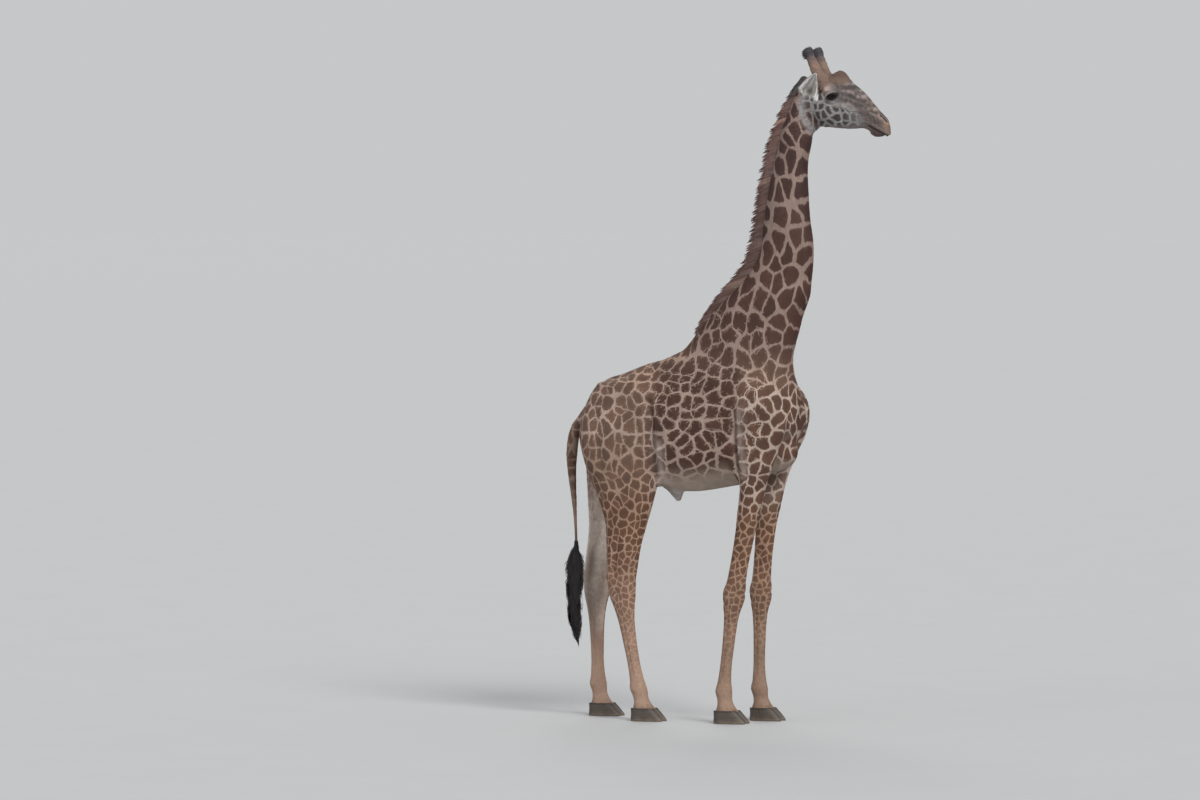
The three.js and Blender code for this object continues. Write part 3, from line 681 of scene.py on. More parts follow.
def shell(low, high, voxel, thrift):
    """The skin inside a box as triangles: the field on a grid, exact only near the surface, and
    larger triangles where it is flat, the more so the greater the thrift."""
    low, high = np.array(low, float), np.array(high, float)
    count = np.ceil((high - low) / voxel / COARSE).astype(int) * COARSE
    coarse_count = count // COARSE + 1
    axes = [low[a] + COARSE * voxel * np.arange(coarse_count[a]) for a in range(3)]
    coarse = skin(np.stack(np.meshgrid(*axes, indexing="ij"), -1).reshape(-1, 3)).reshape(coarse_count)
    nearest = [np.minimum((np.arange(count[a]) + COARSE // 2) // COARSE, coarse_count[a] - 1)
               for a in range(3)]
    value = coarse[np.ix_(*nearest)].reshape(-1)
    near = np.flatnonzero(np.abs(value) < 5 * voxel + 8)
    value[near] = skin(low + voxel * np.stack(np.unravel_index(near, count), 1))
    grid = vdb.FloatGrid(FAR)
    grid.copyFromArray(value.reshape(count).astype(np.float32))
    grid.transform = vdb.createLinearTransform(voxelSize=voxel)
    points, triangles, quads = grid.convertToPolygons(isovalue=0.0, adaptivity=thrift)
    points = points.astype(float) + low
    return points, np.concatenate([triangles.astype(int), halved(points, quads.astype(int))])


def open_edges(faces):
    """The edges that only one triangle has, in the direction in which it goes round."""
    edges = np.concatenate([faces[:, [k, (k + 1) % 3]] for k in range(3)])
    _, first, uses = np.unique(np.sort(edges, 1), axis=0, return_index=True, return_counts=True)
    return edges[first[uses == 1]]


def trimmed(points, faces, keep):
    """Only the faces whose corners are all kept, less those at points where two open edges touch,
    and without the points that then have no use."""
    faces = faces[keep(points)[faces].all(1)]
    while True:
        start, uses = np.unique(open_edges(faces)[:, 0], return_counts=True)
        if uses.max() == 1:
            break
        faces = faces[~np.isin(faces, start[uses > 1]).any(1)]
    used, index = np.unique(faces, return_inverse=True)
    return points[used], index.reshape(faces.shape)


def edge_loops(faces):
    """The open edges of a mesh, chained into loops of point numbers."""
    after = dict(open_edges(faces).tolist())
    loops = []
    while after:
        start, here = next(iter(after.items()))
        loop = [start]
        del after[start]
        while here != start:
            loop.append(here)
            here = after.pop(here)
        loops.append(np.array(loop))
    return loops


def level(points, loop, height):
    """Moves a loop onto a level plane, and back onto the skin along it."""
    p = points[loop]
    p[:, 2] = height
    for _ in range(4):
        value, gradient = slope(p)
        flat = gradient * (1, 1, 0)
        p -= np.clip(value / np.maximum((flat**2).sum(1), 0.2), -8, 8)[:, None] * flat
    points[loop] = p


def zipper(points, lower, upper):
    """Triangles between two loops round the same upright axis: both are turned to start at the same
    side, and each next triangle steps along the loop whose next edge comes first round the axis."""
    centre = points[lower].mean(0)

    def angles(loop):
        """How far round the axis each point of a loop is."""
        return np.unwrap(np.arctan2(*(points[loop] - centre)[:, [1, 0]].T))

    steps, rings = [], []
    for loop in (lower, upper):
        angle = angles(loop)
        if angle[-1] < angle[0]:
            loop, angle = loop[::-1], angle[::-1]
        loop = np.roll(loop, -np.argmin(np.abs((angle + np.pi) % (2 * np.pi))))
        angle = angles(loop)
        angle = np.append(angle, angle[0] + 2 * np.pi)
        rings.append(np.append(loop, loop[0]))
        steps.append(np.maximum.accumulate((angle[1:] + angle[:-1]) / 2))
    upper_step = np.repeat([False, True], [len(s) for s in steps])
    upper_step = upper_step[np.argsort(np.concatenate(steps), kind="stable")]
    a = np.cumsum(~upper_step) - ~upper_step
    b = np.cumsum(upper_step) - upper_step
    third = np.where(upper_step, rings[1][np.minimum(b + 1, len(rings[1]) - 1)],
                     rings[0][np.minimum(a + 1, len(rings[0]) - 1)])
    return np.stack([rings[0][a], third, rings[1][b]], 1)


def skin_mesh():
    """The whole skin as one mesh: shells of different fineness, moved onto the exact surface along
    its slope and joined at the level cuts."""
    points, faces, loops = np.zeros((0, 3)), np.zeros((0, 3), int), []
    for low, high, voxel, thrift, keep in SHELLS:
        p, f = trimmed(*shell(low, high, voxel, thrift), keep)
        loops += [loop + len(points) for loop in edge_loops(f)]
        faces = np.concatenate([faces, f + len(points)])
        points = np.concatenate([points, p])
    for _ in range(3):
        value, gradient = slope(points)
        move = np.clip(value / np.maximum((gradient**2).sum(1), 0.25), -6, 6)
        points -= move[:, None] * gradient
    while loops:
        loop = loops.pop(0)
        middle = points[loop].mean(0)
        other = min(range(len(loops)), key=lambda n: np.linalg.norm(points[loops[n]].mean(0) - middle))
        cut = min((NECK_LEVEL, LEG_LEVEL, TAIL_LEVEL), key=lambda z: abs(z - middle[2]))
        low, high = sorted((loop, loops.pop(other)), key=lambda n: points[n][:, 2].mean())
        level(points, low, cut - ROOM)
        level(points, high, cut + ROOM)
        faces = np.concatenate([faces, zipper(points, low, high)])
    return points, faces, unit(slope(points)[1])


# ---------------------------------------------------------------- markings
def linear(*rgb):
    """A colour given as on a screen, 0 to 255, as the light that it gives back."""
    c = np.array(rgb, float) / 255
    return np.where(c <= 0.04045, c / 12.92, ((c + 0.055) / 1.055) ** 2.4)


def pitches(rows):
    """The running sum of 1 / pitch along a line: a measure in which every patch is one long."""
    at = np.arange(rows[0][0], rows[-1][0] + 10, 10.0)
    pitch = np.interp(at, *np.array(rows, float).T)
    return at, np.concatenate([[0], np.cumsum(10.0 / pitch[:-1])])


# The patches' spacing in mm: by height, by place along the trunk, and down the legs.
UP_PITCH = [(0, 34), (400, 38), (800, 44), (1000, 50), (1300, 58), (1500, 64), (1700, 76), (1900, 90),
            (2100, 95), (2400, 100), (2700, 122), (3000, 150), (3500, 166), (4000, 152), (4200, 124),
            (4700, 108)]
FORE_PITCH = [(-1000, 60), (-600, 69), (-300, 80), (0, 96), (400, 106), (700, 108), (1500, 104)]
LEG_PITCH = [(0, 30), (400, 34), (800, 39), (1000, 45), (1300, 53), (1500, 60), (1800, 76), (1900, 90)]
NECK_PITCH, SIDE_PITCH = 109.0, 75.0
NECK_FOOT, LEG_TOP = 700, 1775.0  # where their own measures meet the trunk's
FACE_PITCH = np.array([58.0, 66.0, 58.0])
THROAT = np.array([[900.0, -80.0, 4330.0]])
UP, FORE = pitches(UP_PITCH), pitches(FORE_PITCH)


def turned(reach, half):
    """What a place round a rounded section adds to what shows of it from the side: for a reach r of
    the section's half size, three quarters of the half size times the arc sine of r less r."""
    r = np.clip(reach / half, -0.95, 0.95)
    return 0.75 * half * (np.arcsin(r) - r)


def patch_place(points):
    """Where a point lies among the patches: two measures in which each patch is about one across,
    and one across the body that sets the two sides apart. Seen from the side they are the places
    fore-and-aft and up. Where the surface turns away over the back, round the chest, the rump, the
    neck or a leg, they follow the turn, so that the patches keep about their size over it: on the
    back, the chest's front and the rump they grow with the distance in from the side. They follow
    the legs' lines and the head's own frame."""
    x, y, z = points.T
    on_neck = ramp(z, 2300, 2750)
    high = (z - table(TRUNK, x)) / table(TRUNK, x, 2)
    over = np.maximum(table(TRUNK, x, 3) - np.abs(y), 0) * ramp(high, 0.3, 0.9) * ramp(x, 420, 120)
    end = turned(np.maximum(x - 560, 0), 300.0) + turned(np.minimum(x + 560, 0), 260.0)
    end += np.maximum(225 - np.abs(y), 0) * (ramp(x, 600, 730) - ramp(x, -620, -780))
    round_neck = 0.6 * turned(x - table(NECK, z), table(NECK, z, 2))
    fore = np.interp(x, *FORE) + end / table(FORE_PITCH, x)
    neck_fore = np.interp(NECK_FOOT, *FORE) + (x - NECK_FOOT + round_neck) / NECK_PITCH
    fore += (neck_fore - fore) * on_neck
    up = np.interp(z, *UP) + over * (1 - on_neck) / table(UP_PITCH, z)
    place = np.stack([fore, up, np.clip(y, -110, 110) / SIDE_PITCH], 1)
    for leg in LEG_LINES:
        line, side = leg_line(leg, z, 1), leg_line(leg, z, 2)
        half, pitch = table(leg_girth(leg), z), table(LEG_PITCH, z)
        own = ramp(z, 1900, 1650) * ramp(np.abs(x - line), half + 90, half + 30) * (y * side > 0)
        start = np.interp(leg_line(leg, np.array([LEG_TOP]), 1), *FORE)
        leg_fore = (x - line + turned(x - line, half)) / pitch + start
        place[:, 0] += (leg_fore - place[:, 0]) * own
        place[:, 2] += ((y - side) / pitch + side / SIDE_PITCH - place[:, 2]) * own
    on_head = head_share(points)[:, None]
    if on_head.max() > 0:
        throat = THROAT[0]
        start = np.array([np.interp(throat[0], *FORE), np.interp(throat[2], *UP), throat[1] / SIDE_PITCH])
        h = to_head(points)
        h[:, 2] += turned(h[:, 2] - table(HEAD, h[:, 0]), table(HEAD, h[:, 0], 2))
        face = (h - to_head(THROAT))[:, [0, 2, 1]] / FACE_PITCH + start
        place += (face - place) * on_head
    return place


def paint(colour, rgb, share):
    """Lays one colour over an array of them, by each point's share."""
    colour += (linear(*rgb) - colour) * np.clip(share, 0, 1)[:, None]


def even(rgb, count):
    """One colour for every point."""
    return np.tile(linear(*rgb), (count, 1))


def layered(colour, layers, at):
    """Lays a table of layers over an array of colours. A layer is a colour, how strong it is, and
    what its share is the product of: names of shares in `at`, ramps, each as a measure in `at`,
    where it is 0 and where it is 1, and bells, as a measure, its middle, its width and "bell"."""
    for rgb, share, *parts in layers:
        for part in parts:
            if isinstance(part, str):
                share = share * at[part]
            elif part[-1] == "bell":
                share = share * bell(at[part[0]] - part[1], part[2])
            else:
                share = share * ramp(at[part[0]], *part[1:])
        paint(colour, rgb, share)


def almond(h):
    """Rings round the eye: 1 at the edge of the dark ring round the lids, which is partly dark lid skin
    and partly painted shade, more outside, as a long almond whose corners run out to points, the front
    one the higher. And the height above its middle line."""
    a, b = leaning(h - EYE, ALMOND_LEAN)
    a = a - 3
    arch = 1 / (1 + np.exp(-np.clip(60 - np.abs(a), -60, 60) / 9))
    high = np.where(b > 0, 21, 30) * (1 - 0.8 * np.clip(np.abs(a) / ALMOND_HALF, 0, 1) ** 2)
    return np.hypot(a / ALMOND_HALF, b / high) + 0.5 * (1 - arch), b


# Half the width of the lines, in patches, and how strongly the patches show, both by height.
LINE_WIDTH = [(500, 0.1), (1000, 0.095), (1500, 0.08), (1900, 0.064), (2150, 0.058), (2450, 0.046),
              (2700, 0.053), (3000, 0.066), (3300, 0.08), (4200, 0.086)]
PATCH_SHOW = [(180, 0.0), (420, 0.35), (800, 0.85), (1100, 1.0)]
# The trunk's side is cooler and darker than the shoulder and the rump, partly its own tone and partly
# painted shade on the flank between them; the neck is the most purple and the legs turn tan. The ridge
# is the top of the back, partly its own tan and partly painted light where it faces up.
GROUND, PATCH = (162, 140, 129), (100, 76, 63)
GROUND_LAYERS = [
    # the trunk's darker colours are partly painted shade on the flank between the shoulder and the rump
    ((147, 128, 117), 1, "trunk"), ((171, 153, 141), 1, "shoulder"), ((138, 118, 109), 1, "neck"),
    # the ridge is partly painted light: lighter where the top of the back faces up
    ((166, 136, 110), 0.6, "ridge"),
    ((152, 126, 108), 1, ("x", -150, -300), ("z", 2100, 1750)),
    ((147, 119, 100), 1, ("z", 1650, 1350)),
    ((140, 115, 98), 1, ("z", 900, 450)),
    ((156, 129, 112), 1, ("x", -150, -300), ("z", 1450, 1100)),
    ((167, 150, 136), 1, "under"),
    ((178, 163, 152), 1, "inner", ("z", 500, 900)),
    ((150, 133, 120), 0.8, "inner", ("z", 500, 900), ("cloud", 0.1, 0.8)),
    ((206, 193, 182), 0.7, "inner", ("z", 500, 900), ("cloud", -0.1, -0.8)),
    ((190, 174, 165), 1, "hollows"),
    # painted shade in the crease behind the shoulder, between the foreleg and the chest
    ((72, 57, 50), 0.65, ("fold", 0, 10, "bell"), "flank", ("z", 2300, 2200)),
    ((174, 167, 164), 1, "sheath"),
    ((142, 121, 107), 1, "tail"),
    ((104, 84, 72), 0.6, "tail", ("z", 1800, 1500), ("y", 0, 14, "bell")),
    ((88, 74, 66), 1, "tail", ("z", 1420, 1240)),
]
PATCH_LAYERS = [
    # the trunk's darker patches are partly painted shade on the flank between the shoulder and the rump
    ((68, 44, 34), 1, "trunk"), ((89, 63, 51), 1, "shoulder"), ((73, 49, 41), 1, "neck"),
    ((68, 47, 43), 1, ("z", 3100, 4000)),
    # the ridge's patches are partly painted light: lighter where the top of the back faces up
    ((88, 66, 56), 0.8, "ridge"),
    ((96, 67, 50), 1, ("z", 1750, 1450)),
    ((104, 77, 61), 1, ("z", 1200, 800)),
    ((114, 84, 67), 1, ("x", -150, -300), ("z", 1300, 900)),
]


def body_measures(points, normals):
    """The measures and shares that the body's layers are made of, by name."""
    x, y, z = points.T
    ny, nz = normals[:, 1], normals[:, 2]
    side = points[:, [0, 2]]
    at = {"x": x, "y": y, "z": z, "flank": ramp(np.abs(y), 60, 120)}
    at["trunk"] = ramp(x, -260, -120) * ramp(x, 480, 400) * ramp(z, 2700, 2350)
    at["shoulder"] = ramp(x, 420, 500) * ramp(z, 2500, 2300)
    at["neck"] = ramp(z, 2350, 2800)
    # where the top of the back faces up; its lighter colour is partly painted light
    at["ridge"] = ramp(nz, 0.55, 0.85) * ramp(z, 2200, 2400) * ramp(x, 420, 300)
    at["under"] = ramp(-nz, 0.3, 0.8) * ramp(z, 1480, 1600) * ramp(z, 2150, 1900)
    inner = ramp(-ny * np.sign(y), 0.1, 0.55) * ramp(z, 1950, 1700) * ramp(z, 80, 130)
    at["inner"] = inner * np.where(x > 150, 0.2 * ramp(z, 1350, 1650), 1.0)
    at["cloud"] = ripples(points * (1, 1, 0.45), 120, 41)
    for name, path, wander, seed, width in (("armpit", ARMPIT, 18, 43, 36), ("groin", GROIN, 15, 44, 46)):
        off = along(side, path)[0] + wander * ripples(points, 110, seed)
        at[name] = bell(off, width) * at["flank"]
    at["hollows"] = np.maximum(at["armpit"], 0.7 * at["groin"])
    # distance to the crease behind the shoulder, where its shade is painted
    at["fold"] = along(side, BODY_CREASES[0][0])[0]
    at["sheath"] = ramp(z, 1690, 1640) * bell(np.hypot(x + 105, y), 85)
    at["tail"] = ramp(x, -800, -850) * ramp(z, 2120, 2020) * (np.abs(y) < 90)
    return at


def markings(points, normals):
    """The coat's colours at any points of the skin, as three sets of four numbers: the place among
    the patches and how jagged they are there; the colour between the patches and half the width of
    the lines; the patches' own colour and how strongly they show."""
    x, _, z = points.T
    count = len(points)
    at = body_measures(points, normals)
    ground, patch = even(GROUND, count), even(PATCH, count)
    layered(ground, GROUND_LAYERS, at)
    layered(patch, PATCH_LAYERS, at)
    jagged = ramp(x, 720, 620) * ramp(z, 1750, 2000) * ramp(z, 3250, 2750)
    jagged = 0.35 + 0.65 * jagged * (0.45 + 0.55 * ramp(x, -350, -150))
    width = table(LINE_WIDTH, z) * (1 - 0.25 * ramp(x, -150, -350))
    show = table(PATCH_SHOW, z) * (1 - at["tail"] * ramp(z, 1800, 1350))
    for name, loss in (("under", 0.9), ("inner", 0.85), ("armpit", 0.45), ("groin", 0.5), ("sheath", 1)):
        show = show * (1 - loss * at[name])

    u, v, w = mirrored(points).T
    poll = (z > 4300) * ramp(u, -165, -200) * ramp(w, 50, 95) * ramp(v, 95, 70)
    throat = along(np.stack([u, w], 1), THROAT_BAND)[0] + 8 * ripples(points, 90, 47)
    throat = bell(throat, 30) * (z > 4100)
    on_head = head_share(points)
    head = np.flatnonzero(on_head > 0)
    if len(head):
        face_ground, face_patch, face_width, face_show = face_colours(points[head], normals[head])
        for own, values in ((ground, face_ground), (patch, face_patch)):
            own[head] += (values - own[head]) * on_head[head, None]
        for own, values in ((width, face_width), (show, face_show), (jagged, 0.1)):
            own[head] += (values - own[head]) * on_head[head]
    paint(ground, (62, 57, 58), 0.9 * poll)
    paint(ground, (150, 147, 148), 0.9 * throat)
    show = show * (1 - poll) * (1 - 0.85 * throat)
    return [np.column_stack(pair).astype(np.float32) for pair in
            ((patch_place(points), jagged), (ground, width), (patch, show))]


# The face is plain above a slanted band, spotted under and behind it, and mottled on its bridge.
# Then come the brow, the muzzle, the lips, the lids, the nostril and the mouth, and last the ear,
# the horn's foot and the dark gap between them.
FACE_GROUND, FACE_PATCH = (134, 132, 131), (60, 55, 52)
FACE_LAYERS = [
    ((97, 90, 88), 1, "plain"),
    ((146, 141, 139), 1, ("over_band", 24, 22, "bell"), ("u", -40, 0), ("u", 200, 120)),
    ((162, 159, 158), 1, ("over_band", -6, 9, "bell"), ("u", 230, 160), ("u", -60, -30)),
    ((104, 93, 88), 1, ("u", 170, 250)),
    ((66, 60, 59), 0.85, "bridge", ("mottle", 0.1, 0.7)),
    ((150, 134, 129), 0.75, "bridge", ("mottle", -0.3, -0.9)),
    ((110, 90, 80), 1, ("w", 60, 105), ("u", -60, -30), ("u", 130, 60)),
    ((92, 72, 64), 1, ("w", 108, 150), ("v", 80, 50)),
    # pale brow bulge: partly pale skin and partly a painted highlight on the bulge
    ((176, 158, 149), 0.9, ("brow", 0, 34, "bell")),
    ((80, 71, 68), 0.8, ("slant", 60, 26, "bell"), ("u", 110, 160), ("v", 20, 40)),
    # orange on the muzzle's front: partly its tan and partly painted warm light on the side that faces
    # forwards
    ((132, 102, 82), 1, ("u", 345, 385), ("forwards", 0.15, 0.7), ("w", -150, -185)),
    ((112, 97, 92), 0.8, ("w", -190, -222), ("u", -160, -60)),
    ((82, 68, 66), 1, ("u", 245, 290), ("u", 376, 362), ("lip", -222, -238)),
    ((162, 152, 146), 1, ("ring", 1.3, 0.17, "bell"), ("above", 0, 12), ("u", 40, 0), "near_eye"),
    # dark ring round the lids: partly dark lid skin and partly painted shade round the eye
    ((40, 37, 41), 1, ("ring", 1.1, 0.92), "near_eye"),
    ((150, 124, 116), 1, ("slit", 16, 6, "bell"), ("nose", -150, -165)),
    ((72, 62, 62), 1, ("slit", 26, 6, "bell"), ("nose", -160, -145)),
    ((34, 29, 30), 1, ("slit", 10, 6)),
    ((50, 42, 42), 1, ("mouth", 0, 6.5, "bell"), ("mouth_end", 1, 0.85)),
    ((160, 155, 152), 1, "ear"),
    # near-white rear rim: partly pale hair and partly a painted highlight along the ear's upper edge
    ((250, 249, 248), 1, "ear", ("across", 0.5, 0.78)),
    ((232, 230, 228), 1, "ear", ("across", -0.62, -0.85)),
    ((180, 177, 173), 1, "inside"),
    ((112, 109, 106), 0.6, "inside", ("ribs", -0.2, 0.8)),
    # painted shade: dark olive deep in the ear's cup, over the ear canal
    ((84, 80, 66), 1, "inside", ("hollow", 0, 1.0, "bell")),
    ((120, 99, 89), 1, ("foot", 16, 2)),
    ((66, 54, 49), 0.8, ("gap", 0, 13, "bell"), ("v", 45, 60), "off_ear"),
]


def face_measures(h, normals):
    """The measures and shares that the face's layers are made of, by name."""
    u, v, w = h.T
    band = -50 - 0.31 * (np.clip(u, -60, 400) + 53)  # the height of the line under the plain band
    below, behind = ramp(w, band + 6, band - 8), ramp(u, -52, -72)
    at = {"u": u, "v": v, "w": w, "forwards": normals[:, 0], "over_band": w - band}
    at["plain"] = (1 - below) * (1 - behind)
    at["spotted"] = np.clip(below * ramp(u, 250, 150) + behind, 0, 1)
    at["bridge"] = ramp(u, 20, 90) * ramp(w - band, 0, 50)
    at["mottle"] = ripples(np.stack([u, v, w * 1.5], 1), 62, 21) + 0.6 * ripples(h, 27, 22)
    # distance from the brow bulge's middle, where a highlight is partly painted
    at["brow"] = np.hypot(u + 43, w - 50)
    at["slant"] = w + 0.75 * u
    at["lip"], at["nose"] = lip_height(h), nose_height(h)
    # the ring's dark inside is partly dark lid skin and partly painted shade
    at["ring"], at["above"] = almond(h)
    at["near_eye"] = ramp(v, 40, 60)
    at["slit"] = along(h, NOSTRIL)[0]
    at["mouth"], at["mouth_end"] = along(h[:, [0, 2]], MOUTH)
    t, across, lift, _ = ear_place(h)
    at["across"] = across
    at["ear"] = ramp(t, 0.02, 0.2) * (np.abs(lift) < 24) * (np.abs(across) < 1.35)
    at["off_ear"] = 1 - at["ear"]
    at["inside"] = at["ear"] * (lift > 0) * ramp(np.abs(across), 0.78, 0.5)
    at["ribs"] = np.cos(across * 9 + 3 * t)
    # distance from the ear canal's place in the cup, where its shade is painted
    at["hollow"] = np.hypot((t - 0.24) / 0.16, (across + 0.1) / 0.5)
    at["foot"] = horn_skirt(h)
    at["gap"] = along(h[:, [0, 2]], EAR_GAP)[0]
    return at


def face_colours(points, normals):
    """Colour between the spots, colour of the spots, half line width and strength, on the head."""
    h = mirrored(points)
    at = face_measures(h, normals)
    u, w = h[:, 0], h[:, 2]
    ground, patch = even(FACE_GROUND, len(points)), even(FACE_PATCH, len(points))
    layered(ground, FACE_LAYERS, at)
    grey = ramp(u, 60, 200)
    paint(patch, (94, 86, 83), grey)
    show = 0.92 * at["spotted"] * ramp(w, -226, -190) * (1 - 0.4 * grey)
    show *= 1 - ramp(at["ring"], 1.6, 1.25) * at["near_eye"]
    show *= at["off_ear"] * (1 - ramp(at["foot"], 20, 6))
    return ground, patch, 0.13 + 0.03 * ramp(u, 60, -40), show


# ---------------------------------------------------------------- pieces
def piece(name, points, faces, material, replaces=(), colours=None, bake_uv=None, normals=None):
    """A piece from points in body millimetres, lists of three- and four-cornered faces, colours by
    point and, for the coat, a place for each point on the OFBake map."""
    mesh = bpy.data.meshes.new(name)
    counts = np.concatenate([np.full(len(f), f.shape[1]) for f in faces])
    corners = np.concatenate([f.ravel() for f in faces]).astype(np.int32)
    mesh.vertices.add(len(points))
    mesh.vertices.foreach_set("co", ((points + BODY_SHIFT) / 1000).astype(np.float32).ravel())
    mesh.loops.add(len(corners))
    mesh.loops.foreach_set("vertex_index", corners)
    mesh.polygons.add(len(counts))
    mesh.polygons.foreach_set("loop_start", (np.cumsum(counts) - counts).astype(np.int32))
    mesh.update(calc_edges=True)
    mesh.shade_smooth()
    for key, values in (colours or {}).items():
        layer = mesh.attributes.new(key, "FLOAT_COLOR", "POINT")
        layer.data.foreach_set("color", np.asarray(values, np.float32).ravel())
    if bake_uv is not None:
        layer = mesh.uv_layers.new(name="OFBake")
        layer.data.foreach_set("uv", bake_uv[corners].astype(np.float32).ravel())
    if normals is not None:
        mesh.normals_split_custom_set_from_vertices(normals.astype(np.float32))
    mesh.materials.append(material)
    ob = bpy.data.objects.new(name, mesh)
    bpy.context.scene.collection.objects.link(ob)
    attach(ob, "root")
    if replaces:
        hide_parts(*replaces)
    return ob


def band_faces(rings, sides):
    """The quads between each ring of corners and the next."""
    k = np.arange(sides)
    low = np.arange(rings - 1)[:, None] * sides
    ahead = (k + 1) % sides
    return np.stack([low + k, low + ahead, low + sides + ahead, low + sides + k], -1)


def spike_faces(rings, count):
    """Faces of `count` closed spikes, each of `rings` rings of three corners and a tip: quads
    between the rings, triangles at the tip and over the root."""
    each = rings * 3 + 1
    start = np.arange(count)[:, None, None] * each
    k, last = np.arange(3), each - 4
    tips = np.stack([last + k, last + (k + 1) % 3, np.full(3, each - 1)], -1)
    out = [(tips + start).reshape(-1, 3), (np.array([[[2, 1, 0]]]) + start).reshape(-1, 3)]
    if rings > 1:
        out.append((band_faces(rings, 3).reshape(1, -1, 4) + start).reshape(-1, 4))
    return out


def spikes(paths, widths, facing, flat=0.5, soft=0.6):
    """The corners of many spikes and their shading normals: each carries a three-cornered ring
    along its path, wide across the path and `flat` times as thick, and closes in a tip. Paths are
    (spikes, rings + 1, 3). The normals lean towards `facing`, so that the coat shades as one."""
    ahead = unit(paths[:, -1] - paths[:, 0])
    across = unit(np.cross(ahead, facing))[:, None, None]
    up = np.cross(across, ahead[:, None, None])
    turn = (np.pi * np.array([1 / 2, 11 / 6, 7 / 6]))[None, None, :, None]
    count, rows = widths.shape
    ring = across * np.cos(turn) + flat * up * np.sin(turn) + np.zeros((count, rows, 3, 3))
    corners = paths[:, :-1, None] + widths[:, :, None, None] / 2 * ring
    points = np.concatenate([corners.reshape(count, rows * 3, 3), paths[:, -1:]], 1)
    leant = unit((1 - soft) * ring + soft * facing[:, None, None]).reshape(count, rows * 3, 3)
    normals = np.concatenate([leant, unit(facing)[:, None]], 1)
    return points.reshape(-1, 3), normals.reshape(-1, 3)


BAKE_PATCH = 0.003  # the size of a tuft's patch on the OFBake map
MARKS = ("place", "ground", "patch")  # the attributes that carry the markings


def bake_map(at, rows):
    """OFBake places for spikes rooted at `at` on the unwrap: each a patch 0.003 across, with the way
    round the spike across it and the way along the spike up it."""
    side = np.append(np.tile([0, 0.5, 1], rows), 0.5) - 0.5
    along_it = np.append(np.repeat(np.arange(rows) / rows, 3), 1) - 0.5
    patch = np.stack([side, along_it], 1) * BAKE_PATCH
    return (np.clip(at, 0.002, 0.998)[:, None] + patch).reshape(-1, 2)


def hair(name, paths, widths, facing, tints, bake, material, replaces=(), flat=0.5, soft=0.6,
         marks=None):
    """A piece of many locks, each coloured from its root's tint to its tip's, with the coat's
    markings at its root where it has them."""
    count, rows = widths.shape
    share = np.append(np.repeat(np.arange(rows) / rows, 3), 1)[None, :, None]
    tint = tints[0][:, None] * (1 - share) + tints[1][:, None] * share
    if tint.shape[2] == 3:  # a plain colour needs its fourth number
        tint = np.concatenate([tint, np.ones_like(tint[:, :, :1])], 2)
    colours = {"tint": tint.reshape(-1, 4)}
    for key, values in zip(MARKS, marks or ()):
        colours[key] = np.repeat(values, rows * 3 + 1, 0)
    points, normals = spikes(paths, widths, facing, flat, soft)
    return piece(name, points, spike_faces(rows, count), material, replaces, colours,
                 bake_map(bake, rows), normals)


def lathe(rings):
    """A closed surface from rings of points, (rows, sides, 3), with a middle point at each end."""
    rows, sides = rings.shape[:2]
    points = np.concatenate([rings.reshape(-1, 3), rings[[0, -1]].mean(1)])
    k, ahead = np.arange(sides), (np.arange(sides) + 1) % sides
    last = (rows - 1) * sides
    low = np.stack([ahead, k, np.full(sides, rows * sides)], -1)
    high = np.stack([last + k, last + ahead, np.full(sides, rows * sides + 1)], -1)
    return points, [band_faces(rows, sides).reshape(-1, 4), low, high]


